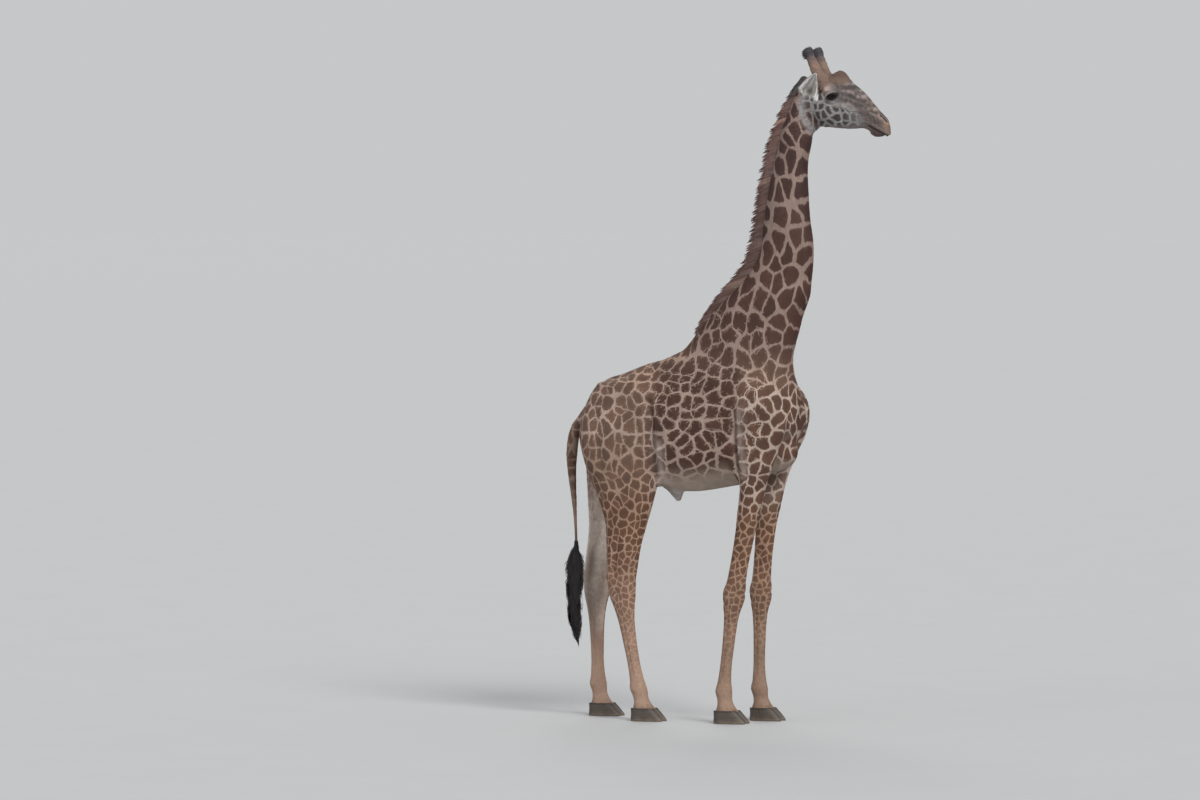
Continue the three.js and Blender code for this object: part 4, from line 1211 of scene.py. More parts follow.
# ---------------------------------------------------------------- materials
class Shading:
    """Nodes of one tree, joined as they are made. A value may be a number, a colour or an output."""

    def __init__(self, tree):
        """Works on this tree."""
        self.tree = tree

    def node(self, kind, inputs=(), **settings):
        """A node, its settings set and its inputs fed."""
        made = self.tree.nodes.new("ShaderNode" + kind)
        for key, value in settings.items():
            setattr(made, key, value)
        return self.fill(made, inputs)

    def fill(self, node, inputs):
        """Feeds a node's inputs, given by name or number: an output is linked, and a number or a
        colour is set."""
        for key, value in dict(inputs).items():
            socket = node.inputs[key]
            if isinstance(value, bpy.types.NodeSocket):
                self.tree.links.new(value, socket)
            elif hasattr(socket.default_value, "__len__"):
                value = list(value) if hasattr(value, "__len__") else [value] * 3
                socket.default_value = value + [1.0] * (len(socket.default_value) - len(value))
            else:
                socket.default_value = float(value)
        return node

    def math(self, operation, *values):
        """A sum on numbers."""
        return self.node("Math", enumerate(values), operation=operation).outputs[0]

    def vector(self, operation, *values):
        """A sum on vectors."""
        return self.node("VectorMath", enumerate(values), operation=operation).outputs[0]

    def scaled(self, vector, amount):
        """A vector or a colour times a number."""
        return self.node("VectorMath", {0: vector, 3: amount}, operation="SCALE").outputs[0]

    def remap(self, value, low, high, to_low=0.0, to_high=1.0):
        """A smooth ramp of a value, from to_low at low to to_high at high."""
        inputs = {"Value": value, "From Min": low, "From Max": high, "To Min": to_low, "To Max": to_high}
        return self.node("MapRange", inputs, interpolation_type="SMOOTHSTEP").outputs[0]

    def mix(self, share, a, b):
        """One colour laid over another by a share."""
        return self.node("Mix", {0: share, 6: a, 7: b}, data_type="RGBA").outputs[2]

    def noise(self, place, scale, detail=2.0, roughness=0.5, output="Fac"):
        """Cloudy noise."""
        inputs = {"Vector": place, "Scale": scale, "Detail": detail, "Roughness": roughness}
        return self.node("TexNoise", inputs).outputs[output]

    def warp(self, place, amount, *noise):
        """A place moved by noise of its own, by up to half the amount each way."""
        colour = self.noise(place, *noise, output="Color")
        way = self.vector("SUBTRACT", colour, (0.5, 0.5, 0.5))
        return self.vector("ADD", place, self.scaled(way, amount))

    def cells(self, place, scale, feature, randomness=1.0):
        """Flat cells round scattered middles."""
        inputs = {"Vector": place, "Scale": scale, "Randomness": randomness}
        return self.node("TexVoronoi", inputs, feature=feature, voronoi_dimensions="2D").outputs

    def attribute(self, name):
        """The outputs of one of the mesh's attributes."""
        return self.node("Attribute", attribute_name=name).outputs

    def object_place(self):
        """The place in the object's own frame."""
        return self.node("TexCoord").outputs["Object"]

    def bump(self, strength, distance, height):
        """The normal, tilted by a height."""
        inputs = {"Strength": strength, "Distance": distance, "Height": height}
        return self.node("Bump", inputs).outputs[0]


def group(name, inputs, outputs, build):
    """A shader node group: `build` gets the tree's shading and its inputs by name, and gives back
    its outputs by name."""
    tree = bpy.data.node_groups.new(name, "ShaderNodeTree")
    kinds = {"colour": "NodeSocketColor", "vector": "NodeSocketVector", "value": "NodeSocketFloat"}
    for names, way in ((inputs, "INPUT"), (outputs, "OUTPUT")):
        for key, kind in names.items():
            tree.interface.new_socket(key, in_out=way, socket_type=kinds[kind])
    shading = Shading(tree)
    start, end = (tree.nodes.new(kind) for kind in ("NodeGroupInput", "NodeGroupOutput"))
    shading.fill(end, build(shading, {key: start.outputs[key] for key in inputs}))
    return tree


CELL_SPREAD = 0.9  # how far the patches' middles stray from an even grid, of 1
NOTCH_SCALE = 1.9  # the cells that notch the rims, to each patch


def build_patches(s, i):
    """Patches as cells of a warped flat Voronoi pattern. A line runs where the distance to a cell's
    edge, less what rounds off its far corners, is under the line's half width, which wanders; finer
    cells cut notches into the patches' rims."""
    jagged = i["Jagged"]
    place = s.warp(i["Place"], 0.75, 0.7, 1.0)
    place = s.warp(place, s.math("MULTIPLY_ADD", jagged, 0.15, 0.12), 2.6, 3.0, 0.55)
    edge = s.cells(place, 1.0, "DISTANCE_TO_EDGE", CELL_SPREAD)["Distance"]
    cell = s.cells(place, 1.0, "F1", CELL_SPREAD)
    rounding = s.math("MULTIPLY_ADD", jagged, -0.07, 0.15)
    rim = s.math("SUBTRACT", edge, s.remap(cell["Distance"], 0.42, 0.85, 0.0, rounding))
    notch = s.cells(place, NOTCH_SCALE, "DISTANCE_TO_EDGE")["Distance"]
    reach = s.math("MULTIPLY_ADD", jagged, 0.22, 0.04)
    deep = s.remap(rim, s.math("MULTIPLY", reach, 0.6), reach)
    notch = s.math("MAXIMUM", s.remap(notch, 0.015, 0.05), deep)
    width = s.math("MULTIPLY", i["Width"], s.remap(s.noise(i["Place"], 0.9, 1.0), 0.3, 0.7, 0.65, 1.35))
    inside = s.remap(rim, s.math("MULTIPLY", width, 0.8), s.math("MULTIPLY_ADD", width, 1.1, 0.012))
    tone = s.node("SeparateColor", {"Color": cell["Color"]}).outputs[0]
    middle = s.remap(rim, 0.1, 0.42, 1.06, 0.92)
    shade = s.math("MULTIPLY", s.math("MULTIPLY_ADD", tone, 0.3, 0.86), middle)
    return {"Mask": s.math("MULTIPLY", s.math("MULTIPLY", inside, notch), i["Show"]), "Shade": shade}


def build_coat(s, i):
    """The coat's colour: ground and patch colours by the mask, each a little uneven, as the lie of
    the hair and dust make them."""
    broad = s.noise(i["Object"], 5.0, 3.0, 0.6)
    streak = s.noise(s.vector("MULTIPLY", i["Object"], (1.0, 1.0, 0.22)), 190.0, 2.0, 0.65)
    uneven = s.math("MULTIPLY", s.remap(broad, 0.3, 0.7, 0.9, 1.1), s.remap(streak, 0.25, 0.75, 0.84, 1.16))
    colour = s.mix(i["Mask"], i["Ground"], s.scaled(i["Patch"], i["Shade"]))
    return {"Colour": s.scaled(colour, uneven), "Streak": streak}


PATCHES = group("patches", {"Place": "vector", "Jagged": "value", "Width": "value", "Show": "value"},
                {"Mask": "value", "Shade": "value"}, build_patches)
COAT = group("coat colour", {"Object": "vector", "Ground": "colour", "Patch": "colour", "Mask": "value",
                             "Shade": "value"}, {"Colour": "colour", "Streak": "value"}, build_coat)


def new_material(name):
    """A material with one shader, as the material, its shading and the shader."""
    material = bpy.data.materials.new(name)
    material.use_nodes = True
    material.node_tree.nodes.clear()
    s = Shading(material.node_tree)
    shader = s.node("BsdfPrincipled")
    s.node("OutputMaterial", {0: shader.outputs[0]})
    return material, s, shader


def coat_material(name, roughness, bump, dark_tips=False):
    """Hide and short hair: markings from the mesh, fine hair streaks and small folds as bump. The
    mane's hair has the same markings, and takes its tint towards its tips."""
    material, s, shader = new_material(name)
    place, ground, patch = (s.attribute(key) for key in MARKS)
    spots = s.node("Group", node_tree=PATCHES)
    s.fill(spots, {"Place": place["Vector"], "Jagged": place["Alpha"], "Width": ground["Alpha"],
                   "Show": patch["Alpha"]})
    where = s.object_place()
    coat = s.node("Group", node_tree=COAT)
    s.fill(coat, {"Object": where, "Ground": ground["Color"], "Patch": patch["Color"],
                  "Mask": spots.outputs["Mask"], "Shade": spots.outputs["Shade"]})
    colour = coat.outputs["Colour"]
    if dark_tips:
        tint = s.attribute("tint")
        colour = s.mix(tint["Alpha"], colour, tint["Color"])
    s.fill(shader, {"Base Color": colour, "Roughness": roughness, "Specular IOR Level": 0.3})
    if bump:
        folds = s.math("MULTIPLY", s.noise(where, 46.0, 3.0, 0.6), 1.2)
        height = s.math("ADD", coat.outputs["Streak"], folds)
        s.fill(shader, {"Normal": s.bump(0.35, bump, height)})
    return material


def tinted_material(name, roughness, specular, grain, depth, spread=0.14, coat=0.0):
    """A finish whose colour is the mesh's tint, a little uneven, over a grain."""
    material, s, shader = new_material(name)
    noise = s.noise(s.object_place(), grain, 3.0, 0.6)
    uneven = s.remap(noise, 0.25, 0.75, 1 - spread, 1 + spread)
    s.fill(shader, {"Base Color": s.scaled(s.attribute("tint")["Color"], uneven),
                    "Roughness": s.remap(noise, 0.2, 0.8, roughness - 0.06, roughness + 0.06),
                    "Specular IOR Level": specular})
    if coat:
        s.fill(shader, {"Coat Weight": coat, "Coat Roughness": 0.03})
    if depth:
        s.fill(shader, {"Normal": s.bump(0.5, depth, noise)})
    return material


HIDE = coat_material("hide and short hair", 0.72, 0.0022)
SHORT_HAIR = coat_material("short hair tufts", 0.7, 0.0)
MANE_HAIR = coat_material("mane hair", 0.6, 0.0, dark_tips=True)
LONG_HAIR = tinted_material("mane and tail hair", 0.52, 0.4, 60.0, 0.0)
HORN = tinted_material("hair-covered horn", 0.72, 0.3, 170.0, 0.0016, 0.2)
CLAW_HORN = tinted_material("claw horn", 0.5, 0.4, 90.0, 0.0008, 0.16)
EYE_GLOSS = tinted_material("wet eye", 0.16, 0.12, 120.0, 0.0, 0.06, coat=0.12)

# ---------------------------------------------------------------- the skin
FLESH = ["trunk", "neck_lower", "neck_upper", "head", "lower_jaw", "sheath", "tail", "ear_right",
         "ear_left"]
FLESH += [f"{part}_{side}" for side in ("right", "left")
          for part in ("shoulder", "forearm", "forecannon", "haunch", "gaskin", "hindcannon")]
skin_points, skin_faces, skin_normals = skin_mesh()
skin_marks = markings(skin_points, skin_normals)
piece("skin", skin_points, [skin_faces], HIDE, FLESH,
      dict(zip(MARKS, skin_marks)), normals=skin_normals)


# ---------------------------------------------------------------- eyes, horns and claws
def both_sides(name, build):
    """Makes a piece on each side of the head: `build` gets the side, -1 or 1."""
    for side, word in ((-1, "right"), (1, "left")):
        build(f"{name}_{word}", side)


def sided(h, side):
    """Points of the folded head frame, put on one side and into the body frame."""
    return from_head((h * (1, side, 1)).reshape(-1, 3)).reshape(h.shape)


def with_alpha(rgb):
    """Colours with a fourth number, 1."""
    return np.column_stack([rgb, np.ones(len(rgb))])


def oriented(faces, side):
    """Faces of a shape built for the left side, turned over for the right one."""
    return [f[:, ::-1] for f in faces] if side < 0 else faces


def horn_ring(turn):
    """The directions round the horn's axis at some angles."""
    fore = unit(np.cross(HORN_AXIS, (0, 1, 0)))
    out = np.cross(HORN_AXIS, fore)
    return fore * np.cos(turn)[:, None] + out * np.sin(turn)[:, None]


def eyeball(name, side):
    """A ball turned to look outwards. Its point at a tilt from the back and a turn is the radius
    times sine of tilt times (cosine of turn ahead plus sine of turn up), less cosine of tilt times
    the look. The iris lies round the pole, and the pupil is a level oval in it."""
    tilt, turn = np.linspace(0.04, np.pi - 0.04, 40)[:, None, None], circle(64)[:, None]
    look = unit(np.array([0.26, 0.96, -0.1]))
    ahead = unit(np.cross(look, (0, 0, 1)))
    up = np.cross(ahead, look)
    ball = (np.sin(tilt) * np.cos(turn)) * ahead + (np.sin(tilt) * np.sin(turn)) * up - np.cos(tilt) * look
    points, faces = lathe(EYE + EYE_RADIUS * ball)
    d = (points - EYE) / EYE_RADIUS
    a, b = d @ ahead, d @ up
    front, away = d @ look > 0, np.hypot(a, b)
    ray = 0.5 + 0.5 * np.sin(np.arctan2(b, a) * 34)
    iris = (front * ramp(away, 0.64, 0.58))[:, None]
    tint = even((24, 18, 16), len(points))
    tint += (linear(36, 24, 18) * (0.75 + 0.5 * ray[:, None]) - tint) * iris
    tint *= 1 - 0.92 * (front * ramp(np.hypot(a / 0.40, b / 0.2), 1.1, 0.92))[:, None]
    tint *= 1 - 0.6 * (front * bell(away - 0.62, 0.05))[:, None]
    piece(name, sided(points, side), oriented(faces, -side), EYE_GLOSS, [name],
          {"tint": with_alpha(tint)})


HORN_LAYERS = [((130, 107, 94), 1, ("up", 0.25, 0.4)), ((100, 85, 82), 1, ("up", 0.45, 0.66)),
               ((60, 57, 64), 1, ("up", 0.68, 0.84))]
CLAW_LAYERS = [((94, 82, 70), 1, ("up", 26, 4)), ((52, 45, 41), 1, ("up", 70, 88)),
               ((120, 106, 90), 0.4, "dust", ("up", 50, 5))]


def ossicone(name, side):
    """A horn: rings round its axis whose radius is the profile's, less 8 mm inside its skirt, and
    a half circle over the tip, with knobs and creases of soft noise under its hair."""
    t = np.linspace(-0.02, 0.995, 70)
    profile = [(place * 100, radius) for place, radius in HORN_PROFILE[1:-1]]
    radius = spans(profile, np.clip(t, 0, 0.985) * 100)[:, 1]
    radius = np.where(t > 0.985, 22 * np.sqrt(np.clip((1.004 - t) / 0.019, 0, 1)), radius)
    radius -= 8 * ramp(t, 0.34, 0.16)
    ring = horn_ring(circle(56))
    middle = HORN_BASE + t[:, None] * HORN_LENGTH * HORN_AXIS
    points = (middle[:, None] + radius[:, None, None] * ring[None]).reshape(-1, 3)
    up = np.repeat(t, len(ring))
    rough = (1.6 * ripples(points, 34, 8) + 0.7 * ripples(points, 12, 9)) * ramp(up, 1.0, 0.9)
    points += np.tile(ring, (len(t), 1)) * rough[:, None]
    points, faces = lathe(points.reshape(len(t), -1, 3))
    tint = even((124, 102, 92), len(points))
    layered(tint, HORN_LAYERS, {"up": np.append(up, t[[0, -1]])})
    piece(name, sided(points, side), oriented(faces, side), HORN, [name],
          {"tint": with_alpha(tint)})


def claw(name, ahead, sideways):
    """One half of a hoof: at each height an oval of the table, narrower at its front, with growth
    rings as sine waves up it and worn in at the floor."""
    z = np.concatenate([[0.0, 1.5], np.linspace(4, 92, 34)])
    _, middle, half, width, egg = spans(CLAW, z).T[:, :, None]
    turn = circle(44)
    wear = np.where(z < 1, -2.5, 0.0)[:, None]
    growth = (0.7 * np.sin(z * 0.62) * ramp(z, 4, 12) * ramp(z, 88, 76))[:, None]
    x = (half + wear + growth) * np.cos(turn)
    y = (width + 0.6 * wear + growth) * np.sin(turn) * (1 - egg * np.cos(turn))
    points, faces = lathe(np.stack([ahead + middle + x, sideways + y, z[:, None] + 0 * y], -1))
    tint = even((70, 61, 54), len(points))
    layered(tint, CLAW_LAYERS, {"up": points[:, 2], "dust": 0.5 + 0.5 * ripples(points, 60, 11)})
    piece(name, points, faces, CLAW_HORN, [name], {"tint": with_alpha(tint)})


both_sides("eye", eyeball)
both_sides("ossicone", ossicone)
for leg_name in LEG_LINES:
    ankle_x, ankle_y = (float(leg_line(leg_name, np.array([ANKLE]), c)[0]) for c in (1, 2))
    for where_on, spread in (("inner", -1), ("outer", 1)):
        claw(f"claw_{leg_name}_{where_on}", ankle_x, ankle_y + spread * CLAW_SPREAD * np.sign(ankle_y))


# ---------------------------------------------------------------- mane and tail
def pick(count, low=0.0, high=1.0):
    """Random numbers, even between two values."""
    return rng.uniform(low, high, count)


def mane_core():
    """The mane's own thickness, under its blades: the ovals of its rows, drawn in by 20 mm and
    narrower at their front."""
    z = np.linspace(2735, 4470, 120)
    _, middle, half, width, _ = spans(MANE, z).T[:, :, None]
    turn = circle(20)
    x = middle + 18 + np.clip(half - 20, 8, 200) * np.cos(turn)
    y = (width * 0.62) * np.sin(turn) * (1 - 0.25 * np.cos(turn + np.pi))
    points, faces = lathe(np.stack([x, y, z[:, None] + 0 * x], -1))
    piece("mane_core", points, faces, LONG_HAIR, ["mane"],
          {"tint": with_alpha(even((92, 70, 64), len(points)))})


TOOTH = 15.0  # the spacing of the teeth in the mane's edge, in mm
SIDE_LOOK = 60.0  # how far to the side the mane's blades find the neck's markings


def mane_blades(name, low, high, count):
    """Stiff hair: each blade runs from the neck's crest backwards and down as a straight line plus
    a bow of 4 t (1 - t), and the tips gather into teeth along the mane's edge."""
    z = pick(count, low, high)
    tooth = np.round(z / TOOTH + 0.12 * np.sin(z / 41.0)) * TOOTH
    own = np.random.default_rng(3).random(400)[(tooth / TOOTH).astype(int) % 400]
    tip_z = z + (tooth - z) * pick(count, 0.35, 0.95) + pick(count, -3, 3)
    reach = np.clip(1.05 - 0.75 * pick(count) ** 2.2, 0.2, 1.02) * (0.9 + 0.12 * own)
    _, middle, half, width, _ = spans(MANE, tip_z).T
    drop = np.interp(tip_z, [2725, 3000, 4200, 4560], [0.25, 0.34, 0.32, 0.3])
    root_x = middle + 0.72 * half - (1 - reach) * (2 * half * 0.86) * 0.25
    tip_x = middle + half - reach * 2 * half
    side = pick(count, -1, 1)
    root = np.stack([root_x, side * width * 0.8, tip_z + drop * (root_x - tip_x)], 1)
    lean = side * (1 - reach) * width * 0.9 + rng.normal(0, 2.5, count)
    tip = np.stack([tip_x, lean, tip_z], 1)
    t = np.array([0, 0.3, 0.62, 1.0])[None, :, None]
    bow = np.stack([-6 + 0 * z, rng.normal(0, 3, count), 10 + rng.normal(0, 4, count)], 1)
    paths = root[:, None] * (1 - t) + tip[:, None] * t + (4 * t * (1 - t)) * bow[:, None]
    widths = pick(count, 4.5, 7.5)[:, None] * np.array([1.0, 0.95, 0.62])
    grey = ramp(tip_z, 4330, 4440)[:, None]
    vary = pick(count, 0.75, 1.25)[:, None] * (1 - 0.25 * ramp(tip_z, 4100, 3400))[:, None]
    inner = linear(101, 77, 71) * (1 - grey) + linear(88, 84, 85) * grey
    outer = linear(124, 94, 88) * (1 - grey) + linear(56, 54, 57) * grey
    pale = ramp(np.sin(tip_z / 23) + np.sin(tip_z / 61 + 2), 1.35, 1.7)[:, None] * (1 - grey)
    inner, outer = (c + (linear(180, 148, 132) - c) * 0.7 * pale for c in (inner, outer))
    tints = [np.column_stack([inner * vary, 0.35 + 0.3 * own]),
             np.column_stack([outer * vary, 1.0 + 0 * z])]
    bake = np.stack([(root[:, 1] + 30) / 60, (root[:, 2] - 2600) / 2100], 1)
    way = np.where(side < 0, -1.0, 1.0)
    facing = unit(np.stack([-0.35 + 0 * side, way, 0.2 + 0 * side], 1))
    skin_at = np.stack([tip_x * 0.25 + root_x * 0.75, way * SIDE_LOOK, root[:, 2]], 1)
    hair(name, paths, widths, facing, tints, bake, MANE_HAIR, ["mane"],
         marks=markings(skin_at, facing))


STRANDS = 46


def tail_locks(name, count):
    """Long black hair from the dock: each lock keeps its share of the brush's width all the way
    down, and waves as a sum of sines; locks of a strand end together, so that the brush is ragged."""
    strand = rng.integers(0, STRANDS, count)
    luck = np.random.default_rng(12)
    ends, turns, waves = (luck.uniform(0, top, STRANDS)[strand] for top in (1, 6.28, 6.28))
    start = pick(count, 1060, 1262)
    end = 488 + 560 * ends**1.2 + pick(count, 0, 60)
    angle = turns + rng.normal(0, 0.35, count)
    share = np.sqrt(pick(count, 0.02, 1)) * (0.72 + 0.5 * ends)
    t = np.linspace(0, 1, 12)[None]
    z = start[:, None] + (end - start)[:, None] * t
    _, centre, half, width, _ = spans(TUFT, z.ravel()).T.reshape(5, *z.shape)
    dock = np.interp(z, [1000, 1240], [0, 13])
    spread = half * share[:, None] * ramp(start[:, None] - z, -20, 110)
    spread = np.maximum(spread, dock * (t < 0.2))
    phase = waves[:, None]
    curl = 26 * t + 2 * phase + angle[:, None]
    wave = (19 * np.sin(9 * t + phase) + 11 * np.sin(curl)) * np.minimum(t * 4, 1)
    x = centre + 0.86 * spread * np.cos(angle)[:, None] + wave * 0.8
    y = 0.86 * spread * (width / half) * np.sin(angle)[:, None]
    y = y + wave * np.cos(phase * 3) + 8 * np.cos(curl)
    widths = pick(count, 3.5, 6.5)[:, None] * np.sin(np.pi * (0.2 + 0.8 * t[:, :-1])) ** 0.5
    facing = np.stack([np.cos(angle), np.sin(angle), 0 * angle], 1)
    tone = pick(count, 0.6, 1.4)[:, None] * (0.75 + 0.5 * ends)[:, None]
    tints = [linear(12, 10, 12) * tone, linear(40, 34, 35) * tone]
    bake = np.stack([angle / (2 * np.pi) % 1, (start - 900) / 400], 1)
    hair(name, np.stack([x, y, z], 2), widths, facing, tints, bake, LONG_HAIR, ["tail_tuft"])


mane_core()
for part, (low, high, count) in enumerate([(2735, 3420, 5600), (3420, 4020, 5000), (4020, 4536, 4600)]):
    mane_blades(f"mane_{part + 1}", low, high, count)
tail_locks("tail_tuft_hair", 1500)


# ---------------------------------------------------------------- hair of the head
def curved(root, ahead, length, bend, rings):
    """Paths from their roots: root + t L ahead + t squared L bend."""
    t = np.linspace(0, 1, rings + 1)[None, :, None]
    return root[:, None] + t * (length[:, None] * ahead)[:, None] + t**2 * (length[:, None] * bend)[:, None]


def horn_hair(name, side):
    """Black hair round a horn's knob, longest behind and at its lower edge."""
    count = 520
    t, turn = pick(count, 0.72, 0.985), pick(count, 0, 2 * np.pi)
    ring = horn_ring(turn)
    radius = table(HORN_PROFILE[1:-1], t) - 1.5
    root = HORN_BASE + t[:, None] * HORN_LENGTH * HORN_AXIS + radius[:, None] * ring
    behind = ramp(ring[:, 0], 0.2, -0.6)
    length = pick(count, 7, 12) + 8 * behind * ramp(t, 0.93, 0.8)
    ahead = unit(0.35 * ring + HORN_AXIS * (0.9 - 0.7 * behind)[:, None] + rng.normal(0, 0.12, (count, 3)))
    bend = np.stack([-0.25 - 0.15 * behind, 0 * t, -0.25 * behind], 1)
    tints = [even(rgb, count) * pick(count, 0.7, 1.3)[:, None] for rgb in ((50, 47, 51), (72, 68, 72))]
    paths = sided(curved(root, ahead, length, bend, 3), side)
    widths = pick(count, 2.6, 4.2)[:, None] * np.array([1, 0.9, 0.55])
    facing = sided(root + ring, side) - sided(root, side)
    bake = np.stack([turn / (2 * np.pi), (t - 0.7) / 0.3], 1)
    hair(name, paths, widths, facing, tints, bake, LONG_HAIR, flat=0.7)


def lashes(name, side):
    """Long dark lashes: rows along both lids' edges that fan outwards and down over the eye, the
    upper ones the longer."""
    count = 170
    upper = pick(count) < 0.68
    a = pick(count, -27, 29)
    arch = np.clip(1 - (a / 31) ** 2, 0, 1)
    b = np.where(upper, 12.5 * arch**0.8 + pick(count, 0, 4), -18.5 * arch**0.7 - pick(count, 0, 3))
    c, s = LID_LEAN
    u, w = a * c - b * s, b * c + a * s
    v = np.sqrt(np.clip((EYE_RADIUS + 4.0) ** 2 - u * u - w * w, 9, None))
    length = np.where(upper, pick(count, 17, 27), pick(count, 8, 13))
    ahead = np.stack([a / 50 + 0.35, 0 * a + 0.5, np.where(upper, -0.12, -0.5)], 1)
    ahead = unit(ahead + rng.normal(0, 0.07, ahead.shape))
    bend = np.stack([a / 90 + 0.1, -0.16 + 0 * a, np.where(upper, -0.25, -0.02)], 1)
    paths = sided(curved(EYE + np.stack([u, v, w], 1), ahead, length, bend, 4), side)
    widths = pick(count, 1.5, 2.3)[:, None] * np.array([1, 0.85, 0.65, 0.4])
    tints = [even(rgb, count) for rgb in ((30, 26, 27), (44, 39, 38))]
    facing = np.tile([0.0, 0.0, 1.0], (count, 1))
    bake = np.stack([(a + 32) / 64, upper * 0.5 + 0.25], 1)
    hair(name, paths, widths, facing, tints, bake, LONG_HAIR, flat=0.9, soft=0.1)


def ear_hair(name, side):
    """A pale fringe that grows along the ear's rim and over its hollow, towards its tip."""
    rim, fill = 620, 520
    count = rim + fill
    t = np.concatenate([pick(rim, 0.05, 0.93), pick(fill, 0.08, 0.8)])
    u = np.concatenate([np.where(pick(rim) < 0.5, -1, 1) * pick(rim, 0.86, 0.99), pick(fill, -0.85, 0.85)])
    half, lean = ear_half(t)
    lift = EAR_CUP * half * (u**2 - 0.6) + 2.5
    place = (u * half + lean)[:, None] * EAR_ACROSS
    root = EAR_ROOT + (t * EAR_LENGTH)[:, None] * EAR_ALONG + place + lift[:, None] * EAR_OUT
    on_rim = np.arange(count) < rim
    across = np.where(on_rim, 0.5 * np.sign(u), -0.35 * u)
    ahead = unit(EAR_ALONG + across[:, None] * EAR_ACROSS + 0.15 * EAR_OUT
                 + rng.normal(0, 0.1, (count, 3)))
    length = np.where(on_rim, pick(count, 9, 15), pick(count, 14, 26)) * (1 - 0.6 * ramp(t, 0.7, 0.93))
    paths = sided(curved(root, ahead, length, -0.08 * EAR_OUT + 0 * root, 3), side)
    widths = pick(count, 1.8, 3.0)[:, None] * np.array([1, 0.8, 0.5])
    rgb = np.where(on_rim[:, None], linear(206, 201, 197), linear(166, 161, 156))
    tints = [rgb * pick(count, 0.75, 1.15)[:, None] * 0.85, rgb * pick(count, 0.9, 1.2)[:, None]]
    facing = np.tile(EAR_OUT * (1, side, 1), (count, 1))
    bake = np.stack([u * 0.5 + 0.5, t], 1)
    hair(name, paths, widths, facing, tints, bake, LONG_HAIR, soft=0.1)


both_sides("horn_hair", horn_hair)
both_sides("lashes", lashes)
both_sides("ear_hair", ear_hair)


# ---------------------------------------------------------------- the short coat
def lie(points):
    """Which way the hair lies: down the neck and legs, back and down on the trunk, from the muzzle
    up and back over the head."""
    x, _, z = points.T
    trunk = ramp(z, 1650, 1950) * ramp(z, 2750, 2350) * ramp(x, 560, 420)
    way = np.zeros((len(points), 3)) + (0, 0, -1)
    way += trunk[:, None] * ((-0.85, 0, 0.55) + np.zeros((len(points), 3)))
    on_head = head_share(points)[:, None]
    back = np.stack([np.cos(HEAD_TURN) + 0 * x, np.sin(HEAD_TURN) + 0 * x, -0.35 + 0 * x], 1) * -1
    return way * (1 - on_head) + back * on_head


def unwrap(points):
    """The skin laid flat: the way round each part's own line across, and the way along it up."""
    x, y, z = points.T
    rows = spans(NECK, z)
    legs = z < 1500
    side = np.where(y > 0, 0.5, 0.0) + np.where(x > 0, 0.25, 0.0)
    middle = np.where(x > 0, leg_line("fore_right", z, 1), leg_line("hind_right", z, 1))
    round_leg = side + (np.arctan2(np.abs(y) - 172, x - middle) / (2 * np.pi) + 0.5) / 4
    round_neck = np.arctan2(y, x - rows[:, 1]) / (2 * np.pi) + 0.5
    round_trunk = np.arctan2(y, 2110 - z) / (2 * np.pi) + 0.5
    h = to_head(points)
    round_head = np.arctan2(h[:, 1], h[:, 2] + 40 + 0.4 * np.clip(h[:, 0], 0, 400)) / (2 * np.pi) + 0.5
    on_head, neck = head_share(points) > 0.5, z > 2650
    u = np.where(on_head, round_head, np.where(neck, round_neck, np.where(legs, round_leg, round_trunk)))
    v = np.where(on_head, (h[:, 0] + 300) / 720, np.where(neck, (z - 2600) / 2000, np.where(
        legs, z / 1520, (x + 1000) / 1900)))
    return np.stack([u, v], 1)


def coat_tufts(name, count, share, length, width, rise):
    """Short tufts over part of the skin, as dense as `share` says: each is rooted in the skin at a
    random place of a random triangle and lies along the coat, its tip a little off the body."""
    a, b, c = (skin_points[skin_faces[:, k]] for k in range(3))
    middle = (a + b + c) / 3
    weight = np.linalg.norm(np.cross(b - a, c - a), axis=1) * share(middle)
    total = np.cumsum(weight)
    chosen = skin_faces[np.searchsorted(total / total[-1], rng.random(count))]
    s, t = np.sqrt(rng.random(count)), rng.random(count)
    part = np.stack([1 - s, s * (1 - t), s * t], 1)[:, :, None]
    root, normal, *marks = ((of[chosen] * part).sum(1) for of in (skin_points, skin_normals, *skin_marks))
    normal = unit(normal)
    way = lie(root)
    way = unit(way - (way * normal).sum(1)[:, None] * normal + rng.normal(0, 0.13, way.shape))
    way = unit(way - (way * normal).sum(1)[:, None] * normal)
    long, wide = length * pick(count, 0.7, 1.25), width * pick(count, 0.75, 1.25)
    lifted = rise * pick(count, 0.4, 1.3)
    tip = root + long[:, None] * (way + lifted[:, None] * normal)
    paths = np.stack([root - 0.8 * normal, tip], 1)
    corners, normals = spikes(paths, wide[:, None], normal, 0.45, 0.85)
    marks = [np.repeat(values, 4, 0) for values in marks]
    piece(name, corners, spike_faces(1, count), SHORT_HAIR, (),
          dict(zip(MARKS, marks)), bake_map(unwrap(root), 1), normals)


def bare(points):
    """0 on the eyes, nostrils and lips, where no tufts grow, and 1 elsewhere."""
    h = mirrored(points)
    ring, _ = almond(h)
    eye = np.where(h[:, 1] > 40, ramp(ring, 0.95, 1.25), 1)
    nose = ramp(along(h, NOSTRIL)[0], 14, 24)
    lips = ramp(along(h[:, [0, 2]], MOUTH)[0], 8, 16)
    return np.where(head_share(points) > 0.02, eye * nose * lips, 1)


LEG_TOP_CUT, NECK_CUT, FORE_CUT = 1450, 2700, 150  # where one coat piece ends and the next begins


def edge_of(points):
    """How dense the tufts are above the legs: more near the body's midline, where the coat breaks
    the outline of the back, chest, throat and belly."""
    return 0.55 + 0.9 * ramp(np.abs(points[:, 1]), 120, 30) * (points[:, 2] > LEG_TOP_CUT)


